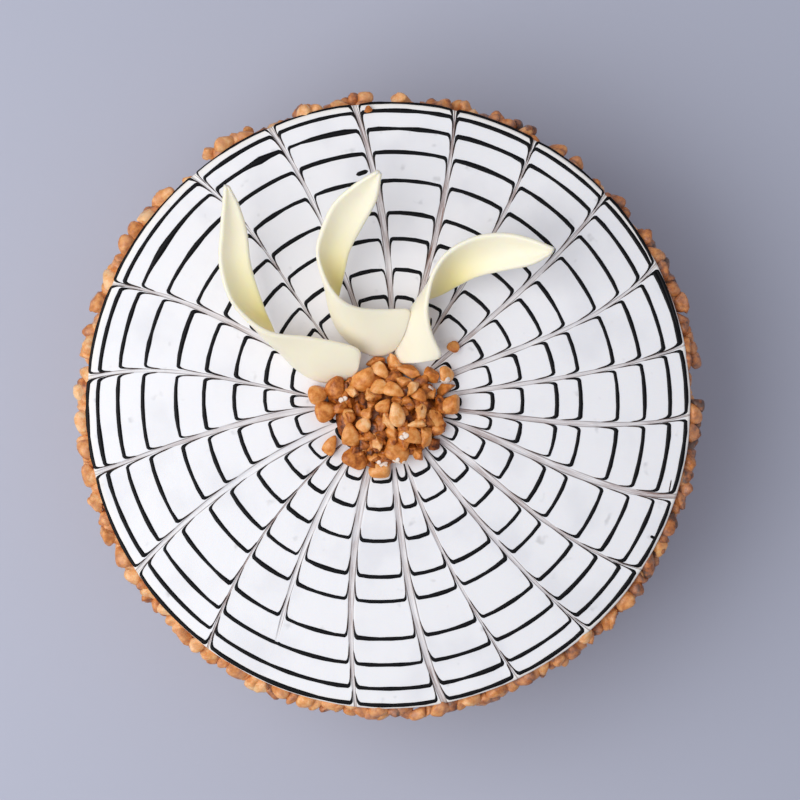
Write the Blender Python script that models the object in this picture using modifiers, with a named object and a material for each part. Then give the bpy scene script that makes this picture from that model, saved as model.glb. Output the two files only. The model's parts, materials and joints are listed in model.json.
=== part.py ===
# Round iced cake: a feathered web of gel on top, butterscotch chips round its side, a heap of
# chips in the middle and three white chocolate curls. Metres, +Z up, origin at the middle of
# the flat base.
import math
import random

import bmesh
import bpy
from mathutils import Euler, Matrix, Vector
from mathutils.bvhtree import BVHTree

MM = 0.001
FULL_TURN = 2.0 * math.pi
GOLDEN_ANGLE = math.pi * (3.0 - math.sqrt(5.0))
SEED = 21

# Cake body
CAKE_RADIUS = 100.2 * MM
CAKE_HEIGHT = 76.0 * MM
TOP_EDGE_SOFTNESS = 1.0 * MM
BASE_EDGE_SOFTNESS = 1.2 * MM

# Web: one line of gel wound inwards and anticlockwise, then dragged inwards at each spoke.
# Each row is one turn, with its radius in mm at every eighth of it.
WEB_TURNS = (
    (98.2, 98.1, 97.7, 97.3, 96.5, 94.8, 93.5, 93.0),
    (92.8, 92.6, 91.7, 91.8, 89.8, 87.8, 85.6, 85.0),
    (84.4, 84.5, 84.0, 83.3, 81.6, 79.2, 77.0, 75.9),
    (75.5, 75.2, 74.6, 73.3, 70.6, 67.5, 64.6, 63.3),
    (63.3, 64.0, 64.0, 63.0, 61.4, 58.7, 56.5, 55.5),
    (55.4, 55.9, 55.4, 53.7, 51.3, 47.6, 44.6, 43.5),
    (44.0, 45.4, 45.3, 43.9, 41.1, 36.9, 34.1, 33.2),
    (34.1, 35.6, 36.3, 35.7, 32.1, 27.9, 24.9, 24.2),
    (23.5, 23.8, 24.0, 22.3, 20.5, 18.5, 16.5, 14.8),
    (13.0, 12.8, 12.5, 12.2, 12.0, 11.8, 11.5, 11.5),
)
WEB_WINDINGS = 9
WEB_LINE_WIDTH = 1.5 * MM
WEB_LINE_RISE = 0.45 * MM
WEB_FADE = (17.0 * MM, 23.0 * MM)

# Spokes: degrees near the rim, at two thirds of the radius and near the heap
SPOKES = (
    (11.5, 9.5, 10.1), (27.7, 23.7, 25.8), (44.2, 41.6, 41.2), (61.3, 58.9, 59.5),
    (77.4, 75.1, 74.3), (96.5, 92.6, 88.7), (113.1, 110.2, 108.8), (130.3, 128.7, 133.6),
    (156.0, 152.6, 153.0), (174.4, 170.6, 172.3), (192.8, 189.3, 183.2), (213.0, 207.7, 201.8),
    (232.8, 226.6, 220.6), (246.1, 241.1, 234.4), (263.4, 258.9, 253.1), (280.3, 276.7, 274.5),
    (295.1, 291.7, 287.3), (311.6, 308.9, 307.5), (326.8, 323.5, 325.5), (342.3, 339.9, 343.8),
    (358.1, 354.8, 355.6),
)
SPOKE_STATIONS = (99.0 * MM, 66.0 * MM, 30.0 * MM)
SPOKE_HALF_WIDTH = 1.5 * MM
SPOKE_DEPTH = 0.45 * MM
SPOKE_PULL = 7.5 * MM
SHORT_SPOKE = 13
SHORT_SPOKE_FADE = (88.0 * MM, 80.0 * MM)
WIDE_GAP = math.radians(22.0)

# Chips pressed into the side, and two that lie loose on top: x, y and size
SIDE_FACETS = 42
SIDE_DEPTH = CAKE_RADIUS * math.cos(math.pi / SIDE_FACETS)
CHIP_ROWS = 6
CHIP_SIDES = 5
CHIP_SIZES = (5.0 * MM, 7.0 * MM)
CHIP_TILT = math.radians(18.0)
CHIP_SLIP = 0.03
CHIP_STANDS_OUT = (0.9 * MM, 2.3 * MM)
# Proportions of a broken chip and of a rounded one, times its size
BLOCK_LENGTH = 1.1
BLOCK_BACK = 0.5
BLOCK_FRONT = 0.32
BLOCK_UNEVENNESS = (0.8, 1.15)
LUMP_RADIUS = 0.55
LUMP_UNEVENNESS = (0.85, 1.15)
LUMP_SINK = 0.3
TOP_ROW_DROP = 4.4 * MM
TOP_ROW_SPREAD = 0.6 * MM
ROW_SPREAD = 3.0 * MM
ROW_SHARE = 0.85
LOOSE_CHIPS = (
    (21.0 * MM, 19.5 * MM, 4.2 * MM),
    (-19.6 * MM, -13.4 * MM, 5.4 * MM),
)

# Heap of chips: half lengths of its core and of the surface that the chips' middles lie on
HEAP_CENTRE = Vector((-0.5 * MM, -3.6 * MM, 0.0))
HEAP_CORE = Vector((17.0 * MM, 13.5 * MM, 10.0 * MM))
HEAP_REACH = Vector((21.5 * MM, 16.5 * MM, 10.0 * MM))
HEAP_CHIPS = 52
HEAP_CHIP_SIZES = (5.6 * MM, 7.6 * MM)
SMALLEST_HEAP_CHIP = 3.0 * MM
CHIP_HALF_HEIGHT = 0.56
CHIP_REACH = 0.6
CORE_SIDES = 20
CORE_RINGS = 8

# Curls: points in mm along the upper edge and along the foot, from the broad end by the heap
# to the tip, with the height above the cake's top
CURL_THICKNESS = 1.8 * MM
CURL_BELLY = 1.2 * MM
CURL_FULL_WIDTH = 12.0 * MM
CURL_STATIONS = 16
CURL_ACROSS = 4
CURL_STEP = 0.02
CURL_RAILS = {
    "curl_left": (
        ((-8.6, 18.6, 9.0), (-18.0, 21.0, 11.0), (-27.5, 22.5, 13.0), (-38.0, 23.5, 15.0),
         (-46.0, 28.0, 17.0), (-52.0, 35.5, 19.5), (-54.6, 46.0, 22.0), (-53.9, 56.0, 25.0),
         (-52.9, 64.3, 28.5), (-52.2, 69.8, 31.0)),
        ((-11.9, 8.7, 0.0), (-22.5, 8.0, 0.0), (-30.5, 12.0, 0.0), (-36.0, 18.5, 0.0),
         (-38.8, 26.0, 3.5), (-40.9, 32.5, 10.0), (-44.3, 45.0, 17.5), (-45.4, 56.0, 22.0),
         (-47.6, 64.0, 26.5), (-50.2, 69.4, 30.4)),
    ),
    "curl_middle": (
        ((5.4, 32.0, 9.0), (-2.5, 31.5, 10.0), (-10.5, 32.0, 12.5), (-16.5, 35.0, 15.0),
         (-21.0, 41.0, 17.0), (-23.5, 49.5, 19.0), (-22.0, 56.5, 22.0), (-18.0, 64.5, 25.5),
         (-11.0, 70.5, 29.0), (-3.9, 74.5, 32.0)),
        ((0.2, 17.5, 0.0), (-6.0, 17.0, 0.0), (-13.8, 21.7, 0.0), (-18.5, 29.0, 0.0),
         (-17.0, 36.5, 2.0), (-14.8, 43.0, 8.5), (-12.5, 50.5, 15.0), (-8.1, 58.0, 21.5),
         (-3.8, 65.5, 27.5), (-2.2, 73.2, 31.4)),
    ),
    "curl_right": (
        ((18.0, 15.6, 9.0), (14.0, 23.0, 12.0), (12.3, 30.0, 14.5), (12.5, 36.0, 16.0),
         (14.3, 43.4, 17.0), (19.0, 50.0, 18.5), (27.5, 54.5, 20.5), (37.0, 55.5, 22.5),
         (45.5, 53.5, 25.0), (52.5, 50.2, 27.0)),
        ((3.4, 14.5, 0.0), (3.2, 23.0, 0.0), (5.9, 29.8, 0.0), (10.8, 34.7, 0.0),
         (17.0, 37.0, 1.0), (23.0, 39.8, 6.0), (29.0, 42.0, 12.5), (37.0, 43.5, 18.0),
         (45.5, 45.0, 23.0), (51.6, 48.8, 26.6)),
    ),
}

# What lies on the cake keeps this gap to the top of the gel line
GAP = 0.3 * MM
SEAT = CAKE_HEIGHT + WEB_LINE_RISE + GAP


def make_material(name, colour, roughness):
    material = bpy.data.materials.new(name)
    material.use_nodes = True
    shader = material.node_tree.nodes["Principled BSDF"]
    shader.inputs["Base Color"].default_value = (*colour, 1.0)
    shader.inputs["Roughness"].default_value = roughness
    shader.inputs["Metallic"].default_value = 0.0
    material.diffuse_color = (*colour, 1.0)
    return material


def make_collection(name):
    collection = bpy.data.collections.new(name)
    bpy.context.scene.collection.children.link(collection)
    return collection


def make_object(data, name, collection, materials):
    """Turns a bmesh into a named object at the origin."""
    mesh = bpy.data.meshes.new(name)
    data.to_mesh(mesh)
    data.free()
    for material in materials:
        mesh.materials.append(material)
    piece = bpy.data.objects.new(name, mesh)
    collection.objects.link(piece)
    return piece


def apply_modifiers(piece):
    depsgraph = bpy.context.evaluated_depsgraph_get()
    mesh = bpy.data.meshes.new_from_object(piece.evaluated_get(depsgraph))
    piece.modifiers.clear()
    piece.data = mesh


def keep_main_body(piece):
    """Drops every loose scrap and every sealed hollow, which leaves the largest body solid."""
    data = bmesh.new()
    data.from_mesh(piece.data)
    waiting = set(data.verts)
    bodies = []
    while waiting:
        body = {waiting.pop()}
        front = list(body)
        while front:
            vert = front.pop()
            for edge in vert.link_edges:
                other = edge.other_vert(vert)
                if other in waiting:
                    waiting.discard(other)
                    body.add(other)
                    front.append(other)
        bodies.append(body)
    bodies.sort(key=len)
    scraps = [vert for body in bodies[:-1] for vert in body]
    bmesh.ops.delete(data, geom=scraps, context="VERTS")
    data.to_mesh(piece.data)
    data.free()


def fuse(piece, toppings):
    """One union of the piece with every object in the collection, which is then emptied."""
    union = piece.modifiers.new("fused chips", "BOOLEAN")
    union.operation = "UNION"
    union.operand_type = "COLLECTION"
    union.collection = toppings
    union.solver = "MANIFOLD"
    union.material_mode = "TRANSFER"
    apply_modifiers(piece)
    for chip in list(toppings.objects):
        bpy.data.objects.remove(chip)
    bpy.data.collections.remove(toppings)
    keep_main_body(piece)


def smooth(low, high, value):
    share = min(max((value - low) / (high - low), 0.0), 1.0)
    return share * share * (3.0 - 2.0 * share)


def spline(points, share):
    """A point on the smooth curve through the given points, share going from 0 to 1."""
    spans = len(points) - 1
    index = min(int(share * spans), spans - 1)
    t = share * spans - index
    here = Vector(points[index])
    following = Vector(points[index + 1])
    before = Vector(points[index - 1]) if index > 0 else 2.0 * here - following
    after = Vector(points[index + 2]) if index + 2 <= spans else 2.0 * following - here
    slope = 0.5 * (following - before)
    next_slope = 0.5 * (after - here)
    step = following - here
    return here + slope * t + (3.0 * step - 2.0 * slope - next_slope) * t ** 2 + (
        slope + next_slope - 2.0 * step) * t ** 3


def polar(radius, angle, height):
    return Vector((radius * math.cos(angle), radius * math.sin(angle), height))


# The web on the cake's top

def web_radius(angle):
    """Radius of the gel line at an angle that grows by a full turn for each winding."""
    radii = [radius for turn in WEB_TURNS for radius in turn]
    place = min(max(8.0 * angle / FULL_TURN, 0.0), len(radii) - 1.001)
    index = int(place)
    return MM * (radii[index] + (radii[index + 1] - radii[index]) * (place - index))


def spoke_angle(spoke, radius):
    """Angle of a spoke at a radius: the parabola through its three angles."""
    total = 0.0
    for index, station in enumerate(SPOKE_STATIONS):
        weight = SPOKES[spoke][index]
        for other in SPOKE_STATIONS:
            if other != station:
                weight *= (radius - other) / (station - other)
        total += weight
    return math.radians(total)


def web_columns():
    """Lines from the rim inwards, as (spoke, side of it, share of the way to the next spoke).

    Each spoke has one line down its middle and one on each side, and the gaps between spokes
    have one or two more. The first line is the one after the last spoke, where the web starts.
    """
    columns = []
    for spoke, angles in enumerate(SPOKES):
        columns += [(spoke, -1, 0.0), (spoke, 0, 0.0), (spoke, 1, 0.0)]
        gap = (math.radians(SPOKES[(spoke + 1) % len(SPOKES)][0] - angles[0])) % FULL_TURN
        steps = 2 if gap > WIDE_GAP else 1
        columns += [(spoke, 0, (step + 1) / (steps + 1)) for step in range(steps)]
    return columns[-1:] + columns[:-1]


def column_angle(column, radius):
    spoke, side, share = column
    radius = max(radius, WEB_FADE[0])
    angle = spoke_angle(spoke, radius)
    if share == 0.0:
        return angle + side * SPOKE_HALF_WIDTH / radius
    if spoke == len(SPOKES) - 1:
        angle -= FULL_TURN
    return angle + (spoke_angle((spoke + 1) % len(SPOKES), radius) - angle) * share


def spoke_strength(column, radius):
    """1 in the middle of a spoke, fading out under the heap and at the short spoke's end."""
    spoke, side, share = column
    if side != 0 or share != 0.0:
        return 0.0
    strength = smooth(*WEB_FADE, radius)
    if spoke == SHORT_SPOKE:
        strength *= smooth(*SHORT_SPOKE_FADE, radius)
    return strength


def web_point(column, winding, edge, rise):
    """A point of the gel line. edge is -1 on its outer side, 0 on its crest, 1 on its inner."""
    whole_turns = winding * FULL_TURN
    radius = web_radius(column_angle(column, CAKE_RADIUS) + whole_turns)
    radius = web_radius(column_angle(column, radius) + whole_turns)
    strength = spoke_strength(column, radius)
    height = CAKE_HEIGHT - SPOKE_DEPTH * strength
    if edge == 0:
        height += rise * (1.0 - strength) * smooth(*WEB_FADE, radius)
    radius -= SPOKE_PULL * strength + edge * 0.5 * WEB_LINE_WIDTH
    return polar(radius, column_angle(column, radius), height)


def add_web(data, columns, rim):
    """Fills the cake's top inside its rim with the wound line, its spokes and the icing."""
    chains = []
    for index, column in enumerate(columns):
        chain = []
        for winding in range(WEB_WINDINGS):
            rise = 0.0 if index == 0 and winding == 0 else WEB_LINE_RISE
            chain += [data.verts.new(web_point(column, winding, edge, rise))
                      for edge in (-1, 0, 1)]
        chains.append(chain)
    line_end = [data.verts.new(web_point(columns[0], WEB_WINDINGS, edge, 0.0))
                for edge in (-1, 0, 1)]
    # After a full turn each winding meets the next one in
    chains.append(chains[0][3:] + line_end)
    for index in range(len(columns)):
        left = chains[index]
        right = chains[index + 1]
        for step in range(len(left) - 1):
            face = data.faces.new((left[step], left[step + 1], right[step + 1], right[step]))
            face.material_index = 0 if step % 3 == 2 else 1
    for index in range(len(columns) - 1):
        data.faces.new((rim[index], chains[index][0], chains[index + 1][0], rim[index + 1]))
    data.faces.new([rim[-1], chains[-2][0], chains[-1][0]] + chains[0][2::-1] + [rim[0]])
    hub = [chain[-1] for chain in chains] + [line_end[1], line_end[0]]
    data.faces.new(hub)


def add_ring(data, radius, height, angles, notches=None):
    ring = []
    for index, angle in enumerate(angles):
        drop = notches[index] if notches else 0.0
        ring.append(data.verts.new(polar(radius, angle, height - drop)))
    return ring


def close_ring(data, ring):
    return [data.edges.new((ring[index - 1], ring[index])) for index in range(len(ring))]


def add_cake(collection, icing, gel, butterscotch):
    columns = web_columns()
    data = bmesh.new()
    # The rim follows the web's lines and is notched at the spokes
    angles = [column_angle(column, CAKE_RADIUS) for column in columns]
    notches = [0.5 * SPOKE_DEPTH * spoke_strength(column, CAKE_RADIUS) for column in columns]
    rim = add_ring(data, CAKE_RADIUS - TOP_EDGE_SOFTNESS, CAKE_HEIGHT, angles, notches)
    edge = add_ring(data, CAKE_RADIUS - 0.3 * TOP_EDGE_SOFTNESS,
                    CAKE_HEIGHT - 0.3 * TOP_EDGE_SOFTNESS, angles, notches)
    for index in range(len(columns)):
        data.faces.new((rim[index - 1], rim[index], edge[index], edge[index - 1]))
    # The side has flat facets, each as wide as two chips
    angles = [FULL_TURN * facet / SIDE_FACETS for facet in range(SIDE_FACETS)]
    upper = add_ring(data, CAKE_RADIUS, CAKE_HEIGHT - TOP_EDGE_SOFTNESS, angles)
    lower = add_ring(data, CAKE_RADIUS, BASE_EDGE_SOFTNESS, angles)
    base = add_ring(data, CAKE_RADIUS - BASE_EDGE_SOFTNESS, 0.0, angles)
    bmesh.ops.bridge_loops(data, edges=close_ring(data, upper) + [
        data.edges.get((edge[index - 1], edge[index])) for index in range(len(edge))])
    for above, below in ((upper, lower), (lower, base)):
        for index in range(SIDE_FACETS):
            data.faces.new((above[index - 1], above[index], below[index], below[index - 1]))
    data.faces.new(base)
    add_web(data, columns, rim)
    bmesh.ops.recalc_face_normals(data, faces=data.faces)
    cake = make_object(data, "cake", collection, (icing, gel))
    fuse(cake, side_chips(butterscotch))


# Chips

def add_lump(collection, material, place, size, draw):
    """A coarse uneven chip, turned at random."""
    data = bmesh.new()
    bmesh.ops.create_uvsphere(data, u_segments=CHIP_SIDES, v_segments=2, radius=LUMP_RADIUS)
    for vert in data.verts:
        vert.co *= draw.uniform(*LUMP_UNEVENNESS)
    turn = Euler([draw.uniform(0.0, FULL_TURN) for _ in range(3)]).to_matrix()
    stretch = Matrix.Diagonal((1.0, draw.uniform(0.75, 1.0), draw.uniform(0.8, 1.0)))
    data.transform(Matrix.Translation(place) @ (turn @ stretch * size).to_4x4())
    make_object(data, "chip", collection, (material,))


def add_block(collection, material, place, size, draw, facing):
    """A broken chip with uneven corners, whose narrow flat end faces outwards, a little askew."""
    data = bmesh.new()
    bmesh.ops.create_cone(data, cap_ends=True, segments=CHIP_SIDES, radius1=BLOCK_BACK,
                          radius2=BLOCK_FRONT, depth=BLOCK_LENGTH)
    corners = [draw.uniform(*BLOCK_UNEVENNESS) for _ in range(CHIP_SIDES)]
    for vert in data.verts:
        corner = corners[round(math.atan2(vert.co.y, vert.co.x) / FULL_TURN * CHIP_SIDES)]
        vert.co.x *= corner
        vert.co.y *= corner
    tilt = Euler([draw.uniform(-CHIP_TILT, CHIP_TILT) for _ in range(3)]).to_matrix()
    spin = Matrix.Rotation(draw.uniform(0.0, FULL_TURN), 3, "Z")
    turn = facing.to_track_quat("Z", "Y").to_matrix() @ tilt @ spin
    data.transform(Matrix.Translation(place) @ (turn * size).to_4x4())
    make_object(data, "chip", collection, (material,))


def side_chips(material):
    """Rows of chips pressed into the side, closest along the top edge, and the loose ones."""
    draw = random.Random(SEED)
    chips = make_collection("chips to fuse")
    facet = FULL_TURN / SIDE_FACETS
    bottom = BASE_EDGE_SOFTNESS + CHIP_SIZES[1]
    top = CAKE_HEIGHT - TOP_ROW_DROP
    for row in range(CHIP_ROWS):
        height = top + (bottom - top) * row / (CHIP_ROWS - 1)
        for index in range(2 * SIDE_FACETS):
            size = draw.uniform(*CHIP_SIZES)
            angle = facet * (0.5 * index + 0.25 + draw.uniform(-CHIP_SLIP, CHIP_SLIP))
            lift = draw.uniform(-1.0, 1.0) * (TOP_ROW_SPREAD if row == 0 else ROW_SPREAD)
            place = polar(SIDE_DEPTH + draw.uniform(*CHIP_STANDS_OUT), angle, height + lift)
            if row == 0 or (index + row) % 2 == 0 and draw.random() < ROW_SHARE:
                add_block(chips, material, place, size, draw, polar(1.0, angle, 0.0))
    for x, y, size in LOOSE_CHIPS:
        place = Vector((x, y, CAKE_HEIGHT + LUMP_SINK * size))
        add_lump(chips, material, place, size, draw)
    return chips


# Curls

def add_curl(name, rails, collection, material):
    """A bowed sheet lofted between its two edges, with a wall and a flat seat."""
    upper = [Vector(point) * MM for point in rails[0]]
    foot = [Vector(point) * MM for point in rails[1]]
    lift = Vector((0.0, 0.0, SEAT))
    data = bmesh.new()
    rows = []
    for station in range(CURL_STATIONS):
        share = station / (CURL_STATIONS - 1)
        high = spline(upper, share)
        low = spline(foot, share)
        before = max(share - CURL_STEP, 0.0)
        after = min(share + CURL_STEP, 1.0)
        along = spline(upper, after) + spline(foot, after)
        along -= spline(upper, before) + spline(foot, before)
        outwards = along.cross(high - low).normalized()
        width = (high - low).length
        row = []
        for step in range(CURL_ACROSS + 1):
            t = step / CURL_ACROSS
            belly = CURL_BELLY * min(width / CURL_FULL_WIDTH, 1.0) * math.sin(math.pi * t)
            row.append(data.verts.new(low.lerp(high, t) - outwards * belly + lift))
        rows.append(row)
    for left, right in zip(rows, rows[1:]):
        for step in range(CURL_ACROSS):
            data.faces.new((left[step], right[step], right[step + 1], left[step + 1]))
    curl = make_object(data, name, collection, (material,))
    wall = curl.modifiers.new("wall", "SOLIDIFY")
    wall.thickness = CURL_THICKNESS
    wall.offset = 0.0
    wall.use_even_offset = True
    apply_modifiers(curl)
    for vert in curl.data.vertices:
        vert.co.z = max(vert.co.z, SEAT)
    curl.data.shade_smooth()
    return curl


# The heap

def add_heap(collection, material, curls):
    """A low core with the chips that show fused on, small where they lie against a curl."""
    draw = random.Random(SEED + 1)
    middle = HEAP_CENTRE + Vector((0.0, 0.0, SEAT))
    data = bmesh.new()
    bmesh.ops.create_uvsphere(data, u_segments=CORE_SIDES, v_segments=CORE_RINGS, radius=1.0)
    data.transform(Matrix.Translation(middle) @ Matrix.Diagonal((*HEAP_CORE, 1.0)))
    bmesh.ops.bisect_plane(data, geom=data.verts[:] + data.edges[:] + data.faces[:],
                           plane_co=middle, plane_no=(0.0, 0.0, -1.0), clear_outer=True)
    rim = [edge for edge in data.edges if edge.is_boundary]
    bmesh.ops.holes_fill(data, edges=rim)
    bmesh.ops.recalc_face_normals(data, faces=data.faces)
    heap = make_object(data, "chip_heap", collection, (material,))

    depsgraph = bpy.context.evaluated_depsgraph_get()
    surfaces = [BVHTree.FromObject(curl, depsgraph) for curl in curls]
    chips = make_collection("chips to fuse")
    for index in range(HEAP_CHIPS):
        size = draw.uniform(*HEAP_CHIP_SIZES)
        reach = math.sqrt((index + 0.5) / HEAP_CHIPS)
        angle = index * GOLDEN_ANGLE
        height = max(HEAP_REACH.z * math.sqrt(1.0 - reach ** 2), CHIP_HALF_HEIGHT * size)
        place = middle + Vector((HEAP_REACH.x * reach * math.cos(angle),
                                 HEAP_REACH.y * reach * math.sin(angle), height))
        clearance = min(surface.find_nearest(place)[3] for surface in surfaces)
        for x, y, loose_size in LOOSE_CHIPS:
            loose = Vector((x, y, CAKE_HEIGHT))
            clearance = min(clearance, (place - loose).length - CHIP_REACH * loose_size)
        size = min(size, (clearance - GAP) / CHIP_REACH)
        if size > SMALLEST_HEAP_CHIP:
            add_lump(chips, material, place, size, draw)
    fuse(heap, chips)
    for vert in heap.data.vertices:
        vert.co.z = max(vert.co.z, SEAT)
    return heap


def main():
    for leftover in list(bpy.data.objects):
        bpy.data.objects.remove(leftover)
    collection = make_collection("butterscotch cake")
    icing = make_material("white icing", (0.86, 0.86, 0.88), 0.35)
    gel = make_material("black gel", (0.012, 0.011, 0.012), 0.25)
    butterscotch = make_material("butterscotch", (0.50, 0.20, 0.07), 0.4)
    chocolate = make_material("white chocolate", (0.89, 0.85, 0.70), 0.45)
    add_cake(collection, icing, gel, butterscotch)
    curls = [add_curl(name, rails, collection, chocolate) for name, rails in CURL_RAILS.items()]
    add_heap(collection, butterscotch, curls)


main()
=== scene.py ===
# Round iced cake: a feathered web of black gel, butterscotch chips and white chocolate curls
import json
import math
import random

import bmesh
import bpy
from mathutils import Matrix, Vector, noise
from mathutils.bvhtree import BVHTree

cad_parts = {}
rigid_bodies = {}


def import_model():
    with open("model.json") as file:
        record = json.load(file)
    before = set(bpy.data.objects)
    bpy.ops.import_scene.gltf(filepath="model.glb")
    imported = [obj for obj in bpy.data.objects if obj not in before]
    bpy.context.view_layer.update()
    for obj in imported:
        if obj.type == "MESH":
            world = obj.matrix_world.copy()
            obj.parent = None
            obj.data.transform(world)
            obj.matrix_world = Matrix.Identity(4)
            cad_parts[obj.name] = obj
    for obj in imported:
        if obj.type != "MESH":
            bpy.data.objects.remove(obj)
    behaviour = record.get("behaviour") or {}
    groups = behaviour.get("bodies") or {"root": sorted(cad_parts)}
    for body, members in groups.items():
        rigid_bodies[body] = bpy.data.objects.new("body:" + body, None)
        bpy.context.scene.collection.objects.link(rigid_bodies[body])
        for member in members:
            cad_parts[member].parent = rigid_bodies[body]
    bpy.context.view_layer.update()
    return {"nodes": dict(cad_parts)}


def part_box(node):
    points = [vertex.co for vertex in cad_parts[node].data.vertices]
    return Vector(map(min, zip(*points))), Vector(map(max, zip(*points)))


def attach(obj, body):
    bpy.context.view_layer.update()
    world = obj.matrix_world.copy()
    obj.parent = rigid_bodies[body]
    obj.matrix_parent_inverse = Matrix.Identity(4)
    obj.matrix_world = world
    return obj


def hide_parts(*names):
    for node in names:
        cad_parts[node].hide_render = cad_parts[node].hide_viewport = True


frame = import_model()
mm = 0.001
fullTurn = 2.0 * math.pi
print("frame loaded:", ", ".join(sorted(frame["nodes"])))

cake = {
    "radius": 100.5 * mm,
    "height": 76.0 * mm,
    "rimSoftness": 1.0 * mm,
    "baseSoftness": 1.2 * mm,
    "ripple": 0.10 * mm,  # how uneven the top is
    "rippleSize": 24.0 * mm,
    # How far the rim lies outside its radius, in mm at every twelfth of a turn
    "rimShift": (-0.9, -0.35, -0.3, -0.25, -0.2, -0.2, -0.3, -0.4, -0.2, -0.3, -0.75, -1.0),
    "rimWaver": 0.16 * mm,
    "rimWaverFineness": 11.0,
    "bulge": 0.45 * mm,  # how uneven the side is
    "bulgeSize": 14.0 * mm,
}

# Each spoke is a knife drawn inwards: its angle near the rim, at two thirds and near the heap
spokes = {
    "angles": (
        (11.5, 9.5, 10.1), (27.7, 23.7, 25.8), (44.2, 41.6, 41.2), (61.3, 58.9, 59.5),
        (77.4, 75.1, 74.3), (96.5, 92.6, 88.7), (113.1, 110.2, 108.8), (130.3, 128.7, 133.6),
        (156.0, 152.6, 153.0), (174.4, 170.6, 172.3), (192.8, 189.3, 183.2),
        (213.0, 207.7, 201.8), (232.8, 226.6, 220.6), (246.1, 241.1, 234.4),
        (263.4, 258.9, 253.1), (280.3, 276.7, 274.5), (295.1, 291.7, 287.3),
        (311.6, 308.9, 307.5), (326.8, 323.5, 325.5), (342.3, 339.9, 343.8),
        (358.1, 354.8, 355.6),
    ),
    # Half the width of each groove in mm, at the same three places
    "halfWidths": (
        (0.25, 0.65, 0.75), (0.42, 0.62, 0.95), (0.25, 0.85, 0.70), (0.25, 0.60, 0.60),
        (0.20, 1.00, 0.80), (0.60, 1.15, 0.80), (0.60, 0.58, 0.80), (0.60, 0.30, 0.35),
        (0.25, 0.90, 0.90), (0.60, 0.58, 0.40), (0.60, 0.68, 1.20), (0.60, 0.95, 1.20),
        (0.35, 0.28, 0.25), (0.30, 0.68, 1.05), (0.48, 0.98, 1.30), (1.00, 1.10, 1.05),
        (0.20, 0.45, 0.60), (0.20, 0.68, 1.00), (0.20, 0.58, 1.20), (0.82, 1.10, 1.15),
        (0.30, 0.93, 0.70),
    ),
    "stations": (99.0 * mm, 66.0 * mm, 30.0 * mm),  # how far out the three places are
    # How much gel the knife dragged along, at the same three places
    "gel": (
        (0.47, 0.32, 0.43), (0.34, 0.20, 0.43), (0.53, 0.29, 0.50), (0.53, 0.80, 0.60),
        (0.78, 0.85, 0.60), (0.72, 0.42, 0.55), (0.45, 0.18, 0.50), (0.06, 0.42, 0.50),
        (0.32, 0.36, 0.40), (0.14, 0.18, 0.60), (0.24, 0.45, 0.30), (0.26, 0.06, 0.08),
        (0.57, 0.75, 0.85), (0.30, 0.20, 0.22), (0.57, 0.50, 0.48), (0.58, 0.33, 0.45),
        (0.35, 0.43, 0.60), (0.42, 0.32, 0.50), (0.60, 0.42, 0.53), (0.75, 0.30, 0.60),
        (0.53, 0.30, 0.78),
    ),
    "depth": 0.32 * mm,
    "grooveReach": 0.75,  # in half widths, as the next two are
    "lipPlace": 1.35,
    "lipReach": 0.4,
    "lip": 0.06 * mm,
    "gelWaves": 0.9,  # how much the dragged gel comes and goes along a spoke
    "gelWaveSize": 7.0 * mm,
    "gelVariety": 7.3,  # how far apart the spokes lie in the noise
    "widest": 0.16,  # a groove's half width against the room between spokes
    "innerFade": (17.0 * mm, 23.0 * mm),  # where the knife leaves the icing
    "shortOne": 13,  # this one starts further in than the others
    "shortFade": (88.0 * mm, 80.0 * mm),
}
spokeCount = len(spokes["angles"])


# Numbers and places

def smooth(low, high, value):
    share = min(max((value - low) / (high - low), 0.0), 1.0)
    return share * share * (3.0 - 2.0 * share)


def between(low, high, share):
    return low + (high - low) * share


def polar(radius, angle, height):
    return Vector((radius * math.cos(angle), radius * math.sin(angle), height))


def spline(points, share):
    # A point on the smooth curve through the points, share going from 0 to 1
    spans = len(points) - 1
    index = min(int(share * spans), spans - 1)
    t = share * spans - index
    here, following = points[index], points[index + 1]
    before = points[index - 1] if index > 0 else 2.0 * here - following
    after = points[index + 2] if index + 2 <= spans else 2.0 * following - here
    slope, nextSlope = 0.5 * (following - before), 0.5 * (after - here)
    step = following - here
    return here + slope * t + (3.0 * step - 2.0 * slope - nextSlope) * t ** 2 + (
        slope + nextSlope - 2.0 * step) * t ** 3


def spokeAngle(count, radius):
    # count goes on past the last spoke, one full turn for each round
    stations = spokes["stations"]
    row = spokes["angles"][count % spokeCount]
    radius = max(radius, spokes["innerFade"][0])
    total = 0.0
    for index, station in enumerate(stations):
        weight = row[index]
        for other in stations:
            if other != station:
                weight *= (radius - other) / (station - other)
        total += weight
    return math.radians(total) + fullTurn * (count // spokeCount)


def alongSpoke(table, count, radius):
    # A value between a spoke's three, straight from one place to the next
    rim, middle, heapEnd = spokes["stations"]
    row = spokes[table][count % spokeCount]
    if radius > middle:
        return between(row[1], row[0], min((radius - middle) / (rim - middle), 1.0))
    return between(row[2], row[1], max((radius - heapEnd) / (middle - heapEnd), 0.0))


def spokeStrength(count, radius):
    strength = smooth(*spokes["innerFade"], radius)
    if count % spokeCount == spokes["shortOne"]:
        strength *= smooth(*spokes["shortFade"], radius)
    return strength


def draggedGel(count, radius):
    wave = noise.noise(Vector((radius / spokes["gelWaveSize"],
                               spokes["gelVariety"] * (count % spokeCount), 0.0)))
    return max(alongSpoke("gel", count, radius) * (1.0 + spokes["gelWaves"] * wave), 0.0)


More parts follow.
